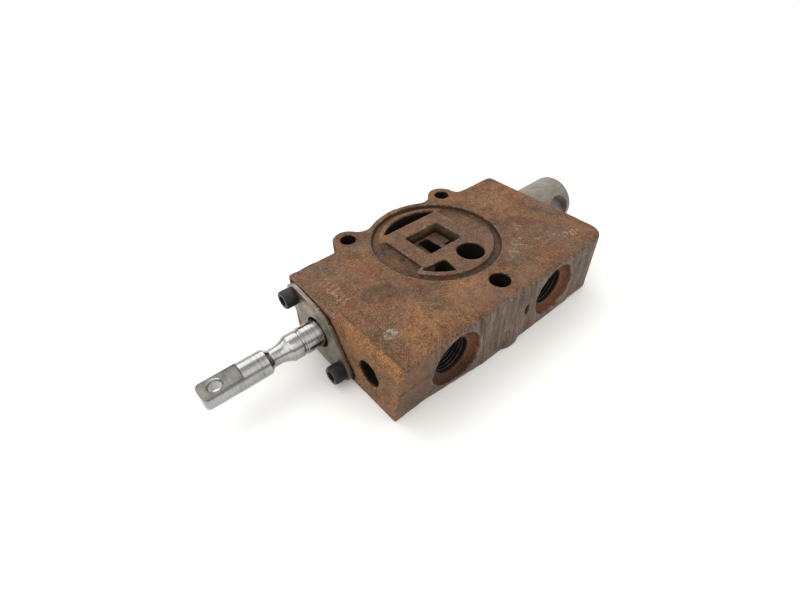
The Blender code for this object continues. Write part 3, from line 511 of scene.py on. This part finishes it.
def lattice(points, scale, seed):
    """Smooth value noise from 0 to 1 at each point, cells of the given size in mm."""
    rng = np.random.default_rng(seed)
    table = rng.random((TABLE_SIZE, TABLE_SIZE, TABLE_SIZE))
    q = points / scale
    cell = np.floor(q).astype(int)
    f = q - cell
    f = f * f * (3 - 2 * f)
    total = np.zeros(len(points))
    for dx in (0, 1):
        for dy in (0, 1):
            for dz in (0, 1):
                corner = (dx, dy, dz)
                weight = np.ones(len(points))
                for axis, far in enumerate(corner):
                    weight = weight * (f[:, axis] if far else 1 - f[:, axis])
                i, j, k = ((cell + np.array(corner)) % TABLE_SIZE).T
                total += weight * table[i, j, k]
    return total


def layered(points, scale, seed, layers=3):
    total, size = np.zeros(len(points)), 0.0
    for i in range(layers):
        weight = 0.55**i
        total += weight * lattice(points + 17.3 * i, scale / 2**i, seed + i)
        size += weight
    return total / size


def step(value, low, high):
    t = np.clip((value - low) / (high - low), 0, 1)
    return t * t * (3 - 2 * t)


def blob(x, y, cx, cy, rx, ry, angle=0.0):
    """1 at the middle of an ellipse, fading to 0 at its rim."""
    c, s = math.cos(math.radians(angle)), math.sin(math.radians(angle))
    u, v = (x - cx) * c + (y - cy) * s, -(x - cx) * s + (y - cy) * c
    return np.clip(1 - np.hypot(u / rx, v / ry), 0, 1)


def stroke(x, y, points, width):
    """1 on a broken line, 0 beyond its width."""
    nearest = np.full(len(x), 1e9)
    for (ax, ay), (bx, by) in zip(points, points[1:]):
        length = max((bx - ax) ** 2 + (by - ay) ** 2, 1e-9)
        t = np.clip(((x - ax) * (bx - ax) + (y - ay) * (by - ay)) / length, 0, 1)
        nearest = np.minimum(nearest, np.hypot(x - ax - t * (bx - ax), y - ay - t * (by - ay)))
    return 1 - step(nearest, width * 0.45, width)


PORTS = (-51.5, 40.0)
SPOOL_ROW = 22.6
PLATE_R, PLATE_LOBE_R, PLATE_SCREW = 20.5, 7.6, (22.8, 14.9)


def worn_marks(x, y):
    """Generic raised blobs in two rows near the tang end: no lettering, only its texture."""
    marks = np.zeros(len(x))
    for row, base in enumerate((-84.5, -80.5)):
        for i in range(7):
            cx, cy = base + 0.5 * math.sin(2.1 * i + row), 13.0 - 3.9 * i + row
            bend = 1.1 * math.cos(3.3 * i + row)
            ends = [(cx - 1.1, cy - bend), (cx, cy + bend), (cx + 1.1, cy - 0.4 * bend)]
            marks = np.maximum(marks, stroke(x, y, ends, 0.75))
    return marks


def chalk(x, y):
    """Smeared paint-marker strokes with no readable sign."""
    marks = np.zeros(len(x))
    for i in range(13):
        along = i / 12
        cx, cy = 18 + 37 * along + 1.2 * math.sin(5.1 * i), -50 + 21 * along + 1.6 * math.cos(3.7 * i)
        lean, tall = 1.8 * math.sin(2.3 * i), 1.6 + 1.1 * math.cos(4.4 * i) ** 2
        ends = [(cx - 0.8 - lean, cy + tall), (cx + 0.4, cy + 0.2 * lean), (cx + 0.5 + lean, cy - tall)]
        marks = np.maximum(marks, (0.45 + 0.4 * math.sin(1.7 * i) ** 2) * stroke(x, y, ends, 0.9))
    for i in range(11):
        along = i / 10
        cx, cy = 50 + 30 * along, -46.5 - 12 * along + 0.8 * math.sin(2.9 * i)
        lean, tall = 1.3 * math.cos(2.6 * i), 2.0 + 1.2 * math.sin(3.1 * i) ** 2
        ends = [(cx - 0.9, cy - tall), (cx + lean, cy), (cx + 0.7 - lean, cy + tall)]
        marks = np.maximum(marks, (0.55 + 0.45 * math.cos(2.2 * i) ** 2) * stroke(x, y, ends, 1.0))
    return marks


# Orange areas of the top face: middle, half widths and strength
RUST_BLOOMS = (
    (-60, -48, 32, 24, 0.85),
    (-46, -62, 26, 10, 0.75),
    (-60, 16, 22, 18, 0.7),
    (-20, -47, 22, 14, 1.0),
    (68, 6, 34, 28, 0.9),
    (48, 28, 20, 14, 0.6),
    (-84, -2, 14, 24, 0.45),
    (62, -62, 22, 12, 0.6),
)


class Zones:
    """Each vertex's place in mm, and how far it belongs to each face or hollow, from 0 to 1."""

    def __init__(self, points, normals):
        self.place = (points - np.array([RING_X, RING_Y, 0.0])) / MM
        x, y, z = self.place.T
        nx, ny, self.nz = normals.T
        self.ring = np.hypot(x, y)
        self.top = step(self.nz, 0.55, 0.85) * step(z, 39.5, 42.0)
        self.side = step(-ny, 0.6, 0.9) * (1 - step(y, -69.0, -66.0))
        self.front = step(-nx, 0.6, 0.9) * (1 - step(x, -93.5, -91.0))
        rear = step(nx, 0.6, 0.9) * step(x, 88.0, 90.5)
        self.inside_ring = 1 - step(self.ring, 38.4, 39.2)
        self.from_port = np.min([np.hypot(x - px, z - SPOOL_ROW) for px in PORTS], axis=0)
        self.counterbore = (1 - step(self.from_port, 18.9, 19.8)) * (1 - step(y, -60.0, -52.0))
        self.throat = (1 - step(self.from_port, 12.4, 13.4)) * (1 - step(y, -50.0, -44.0))
        self.interior = cavity_mask(x, y, z)
        hollow = self.inside_ring * step(z, 30, 43) + self.counterbore + self.interior
        self.cast = 1 - np.clip(hollow, 0, 1)
        self.cast *= 1 - 0.85 * step(z, 44.0, 44.8) * (self.ring < 47.5)
        self.cast *= 1 - 0.6 * rear
        self.milled = self.side * step(x, -76.0, -66.0) * (1 - self.counterbore)
        self.line = 1 - step(np.abs(z - 27.4), 0.3, 0.9)
        self.band = step(z, 37.5, 40.5) * step(-x, 88.5, 91.5) * (1 - step(y, -18.0, -10.0))


def relief(zone):
    """How far each vertex of the casting moves out along its normal, in mm."""
    place, cast, interior, milled, line = zone.place, zone.cast, zone.interior, zone.milled, zone.line
    top, side, front = zone.top, zone.side, zone.front
    x, y, z = place.T
    swell = layered(place, 9.0, 11) - 0.5
    pebble = layered(place, 2.6, 23) - 0.5
    depth = cast * (0.50 * swell + 0.42 * pebble - 0.22) + (1 - cast) * 0.05 * (pebble - 0.6)
    tool = layered(place * np.array([1.0, 0.2, 0.14]), 1.5, 41, 2) - 0.5
    depth = depth * (1 - 0.75 * milled) + milled * 0.20 * tool
    depth -= 1.9 * side * blob(x, z, 11.5, 22.3, 2.4, 5.2) ** 0.5
    depth -= 0.5 * side * blob(x, z, 6.5, 24.0, 5.0, 1.5, 12.0)
    depth -= 0.34 * top * step(blob(x, y, -82.0, -1.0, 9.0, 22.0), 0.0, 0.25)
    depth += 0.50 * top * worn_marks(x, y) * (1 - 0.3 * step(pebble, 0.0, 0.3))
    stain_edge = [(-76.5, -24.0), (-73.5, -12.0), (-66.0, -9.0), (-55.0, -12.0), (-52.0, -22.0)]
    pad_line = stroke(x, y, stain_edge, 1.1)
    depth -= 0.22 * top * pad_line
    lip = stroke(x, y, [(-88.0, -62.0), (-62.0, -42.0), (-38.0, -33.0), (-21.0, -49.0)], 2.2)
    depth += 0.10 * top * lip
    depth -= 0.18 * top * (1 - step(np.abs(x + 90.6), 0.3, 1.2)) * (1 - step(y, -18.0, -14.0))
    depth += 0.35 * line * (side + front) * (1 - step(x, -74.0, -66.0)) * cast
    nick = blob(x, z, -88.0, 44.0, 6.0, 2.0) + blob(y, z, -60.0, 0.5, 9.0, 2.0) * front
    depth -= 0.5 * np.clip(nick, 0, 1) * (1 - interior)
    return np.minimum(depth, 0.12)


def bloom_layer(zone, spots, small):
    """Orange rust, on the top face's blooms, the front face and the raised marks."""
    top, side, front, band, nz = zone.top, zone.side, zone.front, zone.band, zone.nz
    x, y, z = zone.place.T
    bloom = 0.28 * step(spots, 0.42, 0.62)
    for cx, cy, rx, ry, amount in RUST_BLOOMS:
        bloom = np.maximum(bloom, amount * blob(x, y, cx, cy, rx, ry) ** 0.6 * step(small, 0.28, 0.55))
    bloom *= np.clip(top + (1 - nz) * 0.5, 0, 1)
    bloom = np.maximum(bloom, 0.95 * band * step(small, 0.15, 0.4))
    bloom = np.maximum(bloom, 0.9 * top * worn_marks(x, y))
    bloom = np.maximum(bloom, 0.85 * front * step(small, 0.25, 0.5))
    corner = blob(x, z, -95, 4, 14, 10) * side
    return np.maximum(bloom, 0.5 * corner)


def worn_layer(zone, bloom, small, edge):
    """Grey-brown iron where the rust has rubbed off."""
    place, ring, inside_ring, band = zone.place, zone.ring, zone.inside_ring, zone.band
    top, side, front = zone.top, zone.side, zone.front
    x, y, z = place.T
    worn = 0.55 * step(layered(place, 22.0, 81), 0.44, 0.66) * (1 - 0.6 * bloom)
    worn = np.maximum(worn, 0.75 * top * blob(x, y, -88, 26, 30, 22) ** 0.5)
    worn = np.maximum(worn, 0.6 * top * blob(x, y, 40, -42, 34, 20) ** 0.6 * step(small, 0.3, 0.6))
    worn = np.maximum(worn, 0.8 * top * step(ring, 38.6, 39.2) * (1 - step(ring, 39.2, 43.0)))
    worn = np.maximum(worn, 0.55 * inside_ring * top * step(small, 0.3, 0.6))
    worn = np.maximum(worn, 0.6 * front * step(layered(place, 7.0, 91), 0.50, 0.62) * (1 - step(z, 30, 38)))
    worn = np.maximum(worn, 0.8 * side * step(x, 74, 88))
    worn = np.maximum(worn, 0.55 * side * (1 - step(x, -76, -68)))
    worn *= 1 - 0.8 * band
    return np.maximum(worn, 0.7 * edge * step(small, 0.35, 0.6))


def grime_and_shade_layer(zone, small):
    """Oily dirt and stains, and painted shade in the passages, ports, recesses, groove, creases, round the
    plate and at a corner, weakened on the pocket floor's lit side.
    """
    place, ring, inside_ring, interior = zone.place, zone.ring, zone.inside_ring, zone.interior
    counterbore, throat, line, nz = zone.counterbore, zone.throat, zone.line, zone.nz
    top, side, front = zone.top, zone.side, zone.front
    x, y, z = place.T
    # Painted shade: the passages, bores, holes and pocket are painted near black.
    grime_and_shade = 0.97 * interior
    # Painted shade in the recesses inside the ring, stronger on the left half.
    recess = inside_ring * (1 - step(z, 43.7, 44.6)) * step(z, 41.0, 42.5)
    recess_shade = np.where(x < 0, 0.42 + 0.30 * step(small, 0.45, 0.7), 0.10 + 0.25 * step(small, 0.5, 0.7))
    grime_and_shade = np.maximum(grime_and_shade, recess * recess_shade)
    # Painted shade in the seal groove, weaker where y is 5 to 38, with some random dirt.
    groove = step(ring, 38.6, 39.1) * (1 - step(ring, 43.9, 44.5))
    groove *= step(z, 41.0, 42.2) * (1 - step(z, 43.9, 44.9))
    grime_and_shade = np.maximum(grime_and_shade, groove * (0.38 - 0.20 * step(y, 5, 38) + 0.25 * step(small, 0.5, 0.7)))
    # Painted shade along the foot of the groove's outer wall and of the step at x = -27.5.
    foot = (1 - step(np.abs(ring - 43.6), 0.5, 1.3)) * (1 - step(z, 43.4, 44.6)) * step(z, 41.0, 42.2)
    grime_and_shade = np.maximum(grime_and_shade, 0.72 * foot)
    step_foot = (1 - step(np.abs(x + 27.5), 0.4, 1.5)) * (x < -26.8) * (np.abs(y) < 22)
    grime_and_shade = np.maximum(grime_and_shade, 0.8 * step_foot * inside_ring * (1 - step(z, 43.9, 44.8)) * step(z, 41.0, 42.5))
    # Painted shade deep in the ports' throats.
    grime_and_shade = np.maximum(grime_and_shade, 0.95 * throat)
    # Painted shadow of the retainer plate: a dark band round its outline and faint shade farther out.
    plate_gap = plate_distance(y, z - SPOOL_ROW)
    grime_and_shade = np.maximum(grime_and_shade, 0.95 * front * step(plate_gap, -3.0, -1.0) * (1 - step(plate_gap, 0.8, 2.4)))
    grime_and_shade = np.maximum(grime_and_shade, 0.18 * front * (1 - step(plate_gap, 1.0, 6.0)))
    # Painted shade in the hole in the port side face.
    grime_and_shade = np.maximum(grime_and_shade, 0.9 * side * np.clip(blob(x, z, 11.5, 22.3, 2.6, 5.4) * 3.0, 0, 1))
    grime_and_shade = np.maximum(grime_and_shade, 0.35 * side * line * (1 - step(x, -74.0, -66.0)))
    grime_and_shade = np.maximum(grime_and_shade, 0.22 * step(layered(place, 11.0, 131), 0.55, 0.75))
    # Painted shade in the crease near the top front edge.
    crease = (1 - step(np.abs(x + 90.8), 0.3, 1.3)) * (1 - step(y, -17.0, -13.0)) * step(z, 42.5, 44.0)
    grime_and_shade = np.maximum(grime_and_shade, 0.5 * crease * (0.5 + 0.5 * step(small, 0.35, 0.55)))
    stain = step(blob(x, y, -64.0, -17.5, 14.0, 10.0, -10), 0.05, 0.35) * step(small, 0.30, 0.5)
    grime_and_shade = np.maximum(grime_and_shade, 0.40 * top * stain)
    # Painted shade on the rounded corner at the +x end of the port side.
    corner_shade = step(np.hypot(x - 70, (y + 58) * 0.9), 14, 26) * step(x, 72, 84)
    corner_shade *= (1 - step(y, -62, -54)) * (1 - top)
    grime_and_shade = np.maximum(grime_and_shade, 0.45 * corner_shade * (0.5 + 0.5 * step(small, 0.35, 0.55)))
    # Painted shade on the lower left part of the left port's counterbore.
    grime_and_shade = np.maximum(grime_and_shade, 0.55 * counterbore * (x < 0) * (1 - step(x + z, -36.0, -14.0)))
    # Painted light: the painted shade is weakened on the pocket floor, most on its lit right part.
    pocket = (np.abs(x + 0.4) < 15.6) & (np.abs(y - 2.5) < 12.8) & (z > 30) & (z < 38.5) & (nz > 0.6)
    painted_lit_floor = pocket * step(x, 3.5, 6.0)
    return grime_and_shade * (1 - 0.8 * painted_lit_floor) * (1 - 0.55 * pocket)


def red_layer(zone, small):
    """Red oxide in the ports' counterbores and on patches of the top face."""
    top, counterbore, throat = zone.top, zone.counterbore, zone.throat
    x, y = zone.place.T[:2]
    red = counterbore * (1 - throat) * 0.85
    red = np.maximum(red, 0.75 * top * step(layered(zone.place, 7.0, 101), 0.56, 0.68))
    red = np.maximum(red, 0.7 * top * blob(x, y, 52, -60, 16, 8) ** 0.5 * step(small, 0.35, 0.6))
    return np.maximum(red, 0.65 * top * blob(x, y, -56, 7, 16, 12) ** 0.5 * step(small, 0.3, 0.6))


def pale_layer(zone, small, edge):
    """Pale film and chalk on the top face, the worn edges with a painted edge highlight, and the ports' rims.
    """
    place, top, from_port = zone.place, zone.top, zone.from_port
    x, y = place.T[:2]
    pale = 0.8 * top * step(blob(x, y, -80.3, -47.6, 5.6, 4.4, 25), 0.05, 0.35) * step(small, 0.3, 0.55)
    pale = np.maximum(pale, 0.75 * top * chalk(x, y) * step(small, 0.38, 0.58))
    pale = np.maximum(pale, 0.35 * top * worn_marks(x, y))
    # Proud edges: pale rubbed iron and a painted edge highlight together.
    pale = np.maximum(pale, 0.75 * edge * step(layered(place, 5.0, 111), 0.48, 0.66))
    rim = (1 - step(np.abs(from_port - 19.4), 0.4, 1.1)) * (1 - step(y, -71.0, -69.5))
    return np.maximum(pale, 0.5 * rim * step(small, 0.38, 0.6))


def cast_body():
    """The casting: its CAD surface remeshed, roughened and given the layers that steer its material."""
    source = helper("casting_source", nodes["section_body"].data.copy())
    remesh = source.modifiers.new("skin", "REMESH")
    remesh.mode = "VOXEL"
    remesh.voxel_size = VOXEL
    remesh.use_smooth_shade = True
    ease = source.modifiers.new("ease", "SMOOTH")
    ease.factor = 0.5
    ease.iterations = 2
    mesh = applied(source)
    drop(source)
    mesh.materials.clear()
    points, normals = arrays(mesh)
    zone = Zones(points, normals)
    points += normals * (relief(zone) * MM)[:, None]
    points[:, 2] = np.clip(points[:, 2], 0.0, TOP_Z)
    mesh.vertices.foreach_set("co", points.astype(np.float32).ravel())

    spots = layered(zone.place, 14.0, 61, 4)
    small = layered(zone.place, 4.0, 71, 3)
    edge = edge_mask(mesh, points)
    bloom = bloom_layer(zone, spots, small)
    layers = {
        "bloom": bloom,
        "worn": worn_layer(zone, bloom, small, edge),
        "grime_and_shade": grime_and_shade_layer(zone, small),
        "red": red_layer(zone, small),
        "pale": pale_layer(zone, small, edge),
        "milled": zone.milled * 0.95,
    }
    for name, values in layers.items():
        layer = mesh.attributes.new(name, "FLOAT", "POINT")
        layer.data.foreach_set("value", np.clip(values, 0, 1).astype(np.float32))
    mesh.shade_smooth()
    return new_piece("casting", mesh, "section", "rusty_cast_iron", ("section_body",), CAST)


def plate_distance(y, z):
    """How far a point of the front face lies outside the retainer plate's outline, in mm."""
    apart = math.hypot(*PLATE_SCREW)
    along = (y * PLATE_SCREW[0] + z * PLATE_SCREW[1]) / apart
    share = np.clip(np.abs(along) / apart, 0, 1)
    centre = np.sign(along) * share
    reach = np.hypot(y - centre * PLATE_SCREW[0], z - centre * PLATE_SCREW[1])
    return reach - (PLATE_R + (PLATE_LOBE_R - PLATE_R) * share)


def cavity_mask(x, y, z):
    """1 well inside the passages, bores and holes."""
    inside = np.zeros(len(x))
    for cx, cy, r in ((-45.0, 39.4, 5.4), (44.0, 39.3, 5.4), (-1.0, -56.8, 6.7)):
        inside = np.maximum(inside, (np.hypot(x - cx, y - cy) < r + 0.5) * (1 - step(z, 43.9, 45.15)))
    radius = np.hypot(x, y)
    inside = np.maximum(inside, (np.hypot(x - 7.5, y + 24.7) < 9.9) * (1 - step(z, 43.4, 44.9)))
    inside = np.maximum(inside, ((radius < 36.6) & (y > 25.4)) * (1 - step(z, 42.6, 44.6)))
    inside = np.maximum(inside, ((radius < 35.9) & (y < -18.7) & (x < -10.8)) * (1 - step(z, 43.4, 44.9)))
    pocket = (np.abs(x + 0.4) < 15.5) & (np.abs(y - 2.5) < 12.7)
    inside = np.maximum(inside, 0.97 * pocket * (1 - step(z, 36.5, 44.6)))
    bore = np.hypot(y, z - SPOOL_ROW)
    inside = np.maximum(inside, (bore < 13.8) & (np.abs(x + 1.5) < 92.5))
    side_hole = np.hypot(y + 46.0, z - SPOOL_ROW)
    inside = np.maximum(inside, (side_hole < 9.2) * (x < -55) * step(x, -96.2, -94.2))
    from_port = np.min([np.hypot(x - px, z - SPOOL_ROW) for px in PORTS], axis=0)
    inside = np.maximum(inside, (from_port < 13.2) * (y < -5) * step(y, -66.5, -62.0))
    level = np.abs(z - SPOOL_ROW)
    tank = (np.abs(y - 22.5) < 6.2) & (level < 6.2) & (np.abs(x) < 76)
    pressure = (np.abs(y + 20.5) < 5.2) & (level < 5.2) & (np.abs(x) < 33)
    inside = np.maximum(inside, (tank | pressure) * 1.0)
    return inside


def edge_mask(mesh, points):
    """How far each vertex stands proud of its neighbours, from 0 to 1, for worn edges and their painted
    highlight.
    """
    pairs = np.empty(len(mesh.edges) * 2, np.int32)
    mesh.edges.foreach_get("vertices", pairs)
    first, second = pairs.reshape(-1, 2).T
    values = points / MM
    normals = np.empty(len(mesh.vertices) * 3, np.float32)
    mesh.vertices.foreach_get("normal", normals)
    normals = normals.reshape(-1, 3)
    mean = values
    for _ in range(3):
        total = np.zeros_like(values)
        count = np.zeros(len(values))
        for a, b in ((first, second), (second, first)):
            for axis in range(3):
                total[:, axis] += np.bincount(a, weights=mean[b, axis], minlength=len(values))
            count += np.bincount(a, minlength=len(values))
        mean = total / np.maximum(count, 1)[:, None]
    proud = np.einsum("ij,ij->i", values - mean, normals)
    return step(proud, 0.10, 0.30)


def port_thread(number, px):
    """The thread ridge inside a work port, as one closed helical prism."""
    pitch, turns, steps = 2.117, 8, 56
    start = 72.3 - 4.6 - 1.0
    section = ((12.45, 0.0), (12.45, -1.95), (11.62, -1.12), (11.62, -0.83))
    work = bmesh.new()
    rows = []
    for i in range(turns * steps + 1):
        a = 2 * math.pi * i / steps
        fade = min(1.0, i / (0.4 * steps), (turns * steps - i) / (0.4 * steps))
        row = []
        for r, along in section:
            radius = 12.45 + (r - 12.45) * max(fade, 0.02)
            depth = start - pitch * i / steps + along * max(fade, 0.05)
            across, up = radius * math.cos(a), radius * math.sin(a)
            row.append(work.verts.new(at(px + across, -depth, SPOOL_ROW + up)))
        rows.append(row)
    count = len(section)
    for one, two in zip(rows, rows[1:]):
        for k in range(count):
            work.faces.new((one[k], one[(k + 1) % count], two[(k + 1) % count], two[k]))
    work.faces.new(rows[0])
    work.faces.new(rows[-1])
    bmesh.ops.recalc_face_normals(work, faces=work.faces)
    mesh = bpy.data.meshes.new(f"port_thread_{number}")
    work.to_mesh(mesh)
    work.free()
    smooth(mesh, 40)
    return new_piece(f"port_thread_{number}", mesh, "section", "rusty_cast_iron", (), SHADED_THREAD)


def shaded_thread_steel():
    n = Nodes("port_thread")
    film = n.noise(300.0, 4.0, 0.65)
    # Near-black colour: painted shade deep in the port, over a dark metal film.
    colour = n.mix(n.span(film, 0.4, 0.62), (0.004, 0.0035, 0.003), (0.034, 0.029, 0.024))
    return n.finish(colour, n.span(film, 0.3, 0.7, 0.34, 0.5), 0.7, n.bump(film, 0.08 * MM, 0.4))


SHADED_THREAD = shaded_thread_steel()
cast_body()
for number, px in enumerate(PORTS, 1):
    port_thread(number, px)


# ---------------------------------------------------------------- spool


def along_x(across, up, height):
    """Rings whose axis is the spool's, with heights as x in mm from the ring centre."""
    return at(height, across, SPOOL_ROW + up)


def box_mesh(low, high):
    work = bmesh.new()
    bmesh.ops.create_cube(work, size=1.0)
    for v in work.verts:
        v.co = Vector([low[i] + (high[i] - low[i]) * (v.co[i] + 0.5) for i in range(3)])
    mesh = bpy.data.meshes.new("box")
    work.to_mesh(mesh)
    work.free()
    return mesh


def cut(obj, tool):
    modifier = obj.modifiers.new(tool.name, "BOOLEAN")
    modifier.operation = "DIFFERENCE"
    modifier.object = tool
    modifier.solver = "EXACT"


LAND = 8.7
WAIST = 6.2
LAND_EDGE = 8.4
SPOOL_END = 92.8
WAISTS = ((47.5, 64.5), (18.0, 32.5), (3.5, 10.0), (-10.0, -3.5), (-44.0, -26.0), (-76.0, -59.0))
TANG_START = -150.3
TANG_HALF = 4.6
EYE_X = -164.6


def spool_rings():
    """(radius, x) down the whole spool from its seat end to the tip of the tang."""
    rings = [(3.75, 79.0), (3.75, SPOOL_END), (8.1, SPOOL_END), (LAND, SPOOL_END - 0.6)]
    for low, high in WAISTS:
        rings += [(LAND, high + 0.3), (LAND_EDGE, high), (WAIST, high)]
        rings += [(WAIST, low), (LAND_EDGE, low), (LAND, low - 0.3)]
    rings += [(LAND, -110.2), (8.62, -110.55), (8.4, -110.7), (8.4, -111.25), (8.3, -111.4), (7.95, -111.5)]
    rings += [(7.85, -111.8), (7.85, -112.5), (7.95, -112.8), (8.3, -112.9), (8.4, -113.05), (8.4, -119.6)]
    for i in range(1, 11):
        share = i / 10
        rings.append((8.4 - 2.8 * (1 - (1 - share) ** 1.7), -119.6 - 7.4 * share))
    rings += [(5.6, -131.3), (5.75, -131.75), (7.75, -134.2), (8.0, -134.55)]
    rings += [(8.0, -150.0), (8.0, -170.9)]
    for i in range(1, 9):
        turn = math.radians(11.25 * i)
        rings.append((5.0 + 3.0 * math.cos(turn), -170.9 - 3.0 * math.sin(turn)))
    return rings


def spool():
    """The chromed spool, its flat tang and the eye through the tang."""
    body = helper("spool_blank", ring_surface(spool_rings(), along_x))
    tools = []
    for sign in (1, -1):
        low, high = at(-180, -12, SPOOL_ROW + TANG_HALF * sign), at(TANG_START, 12, SPOOL_ROW + 12 * sign)
        low, high = [Vector(map(pick, low, high)) for pick in (min, max)]
        tools.append(helper(f"flat_{sign}", box_mesh(low, high)))
    flare = [(5.3, 6.0), (4.75, 4.6), (4.5, 4.3), (4.2, 4.0), (4.15, 3.7)]
    eye = flare + [(radius, -height) for radius, height in reversed(flare)]
    tools.append(helper("eye", ring_surface(eye, lambda a, u, h: at(EYE_X + a, u, SPOOL_ROW + h))))
    for tool in tools:
        cut(body, tool)
    edges = body.modifiers.new("edges", "BEVEL")
    edges.width = 0.28 * MM
    edges.segments = 2
    edges.limit_method = "ANGLE"
    edges.angle_limit = math.radians(48)
    mesh = applied(body)
    for obj in [body, *tools]:
        drop(obj)
    mesh.materials.clear()
    smooth(mesh, 32)
    piece = new_piece("spool", mesh, "spool", "spool_chrome", ("control_spool",), CHROME, TANG)
    for face in mesh.polygons:
        place = (face.center.x - RING_X) / MM
        flat = abs(face.normal.z) > 0.95 and place < TANG_START - 0.2
        shoulder = abs(face.normal.x) > 0.95 and abs(place - TANG_START) < 0.2
        face.material_index = 1 if flat or shoulder else 0
    return piece


spool()


# ---------------------------------------------------------------- socket screws


HEAD_RADIUS = 5.95
HEAD_HEIGHT = 7.9
SHANK = 3.95
THREAD_PITCH = 1.41
THREAD_ROOT = 3.55


def hexagon(radius):
    """Radius of a hexagon with that corner radius, by angle."""
    def at_angle(a):
        turn = a % (math.pi / 3) - math.pi / 6
        return radius * math.cos(math.pi / 6) / math.cos(turn)
    return at_angle


def knurl(radius, depth, count=36):
    """Radius of a knurled ring by angle."""
    return lambda a: radius - depth * abs(((a * count / (2 * math.pi)) % 1.0) * 2 - 1)


def socket_screw(name, node, outward):
    """A hexagon socket screw along X. outward is the sign of the way its head points."""
    low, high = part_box(node)
    middle = (low + high) / 2
    head_top = high.x if outward > 0 else low.x
    tip = low.x if outward > 0 else high.x
    grip = knurl(HEAD_RADIUS, 0.22)
    rings = [(hexagon(3.67), -4.0), (hexagon(3.67), -0.45), (hexagon(4.05), 0.0), (4.9, 0.0), (5.3, -0.08)]
    rings += [(5.62, -0.4), (5.78, -0.75), (grip, -1.2), (grip, -6.6), (5.72, -7.1)]
    rings += [(5.72, -HEAD_HEIGHT), (SHANK, -HEAD_HEIGHT), (SHANK, -10.0)]
    shank_end = -abs(tip - head_top) / MM
    position = -10.0
    while position > shank_end + 1.6:
        rings += [(SHANK, position), (THREAD_ROOT, position - 0.7)]
        position -= THREAD_PITCH
    rings += [(3.6, position), (3.3, shank_end)]

    def place(across, up, height):
        return Vector((head_top + outward * height * MM, middle.y + across * MM, middle.z + up * MM))

    mesh = ring_surface(rings, place)
    smooth(mesh, 28)
    return new_piece(name, mesh, "section", "black_oxide", (node,), BLACK)


socket_screw("retainer_screw_upper", "plate_screw_upper", -1)
socket_screw("retainer_screw_lower", "plate_screw_lower", -1)
socket_screw("cap_socket_screw_left", "cap_screw_left", 1)
socket_screw("cap_socket_screw_right", "cap_screw_right", 1)


# ---------------------------------------------------------------- plate, cap, seals and centring parts


refined("retainer_plate", "front_retainer_plate", "section", "retainer_steel", PLATE, 0.35 * MM, 40)
refined("centring_cap", "spring_cap", "section", "cap_alloy", CAP, 0.4 * MM, 40, merge=False)
for name, node in (("wiper", "front_wiper_ring"), ("front_o_ring", "front_spool_seal"),
                   ("rear_o_ring", "rear_spool_seal"), ("cap_o_ring", "cap_face_seal")):
    refined(name, node, "section", "nitrile", RUBBER)
for name, node in (("front_support_washer", "front_backup_washer"),
                   ("rear_support_washer", "rear_backup_washer"),
                   ("split_washer_left", "lock_washer_left"), ("split_washer_right", "lock_washer_right")):
    refined(name, node, "section", "plain_steel", STEEL, 0.15 * MM, 40)
refined("seat_front", "spring_seat_front", "front_seat", "plain_steel", STEEL, 0.2 * MM, 40)
refined("seat_rear", "spring_seat_rear", "rear_seat", "plain_steel", STEEL, 0.2 * MM, 40)
refined("shoulder_bolt", "spool_end_bolt", "spool", "plain_steel", STEEL, 0.2 * MM, 40)


def half_coil(name, place, keep_front):
    """Half of the coil, cut square at place. It stays where it is, attached to no seat."""
    half = refined(name, "centering_spring", None, "spring_wire", WIRE, 0.0, 50, merge=False)
    work = bmesh.new()
    work.from_mesh(half.data)
    everything = work.verts[:] + work.edges[:] + work.faces[:]
    found = bmesh.ops.bisect_plane(work, geom=everything, plane_co=(place, 0, 0), plane_no=(1, 0, 0),
                                   clear_outer=keep_front, clear_inner=not keep_front)
    rim = [e for e in found["geom_cut"] if isinstance(e, bmesh.types.BMEdge)]
    bmesh.ops.contextual_create(work, geom=rim)
    work.to_mesh(half.data)
    work.free()
    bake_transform(half)


spring_low, spring_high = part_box("centering_spring")
middle = (spring_low.x + spring_high.x) / 2
half_coil("coil_spring_front", middle, True)
half_coil("coil_spring_rear", middle, False)
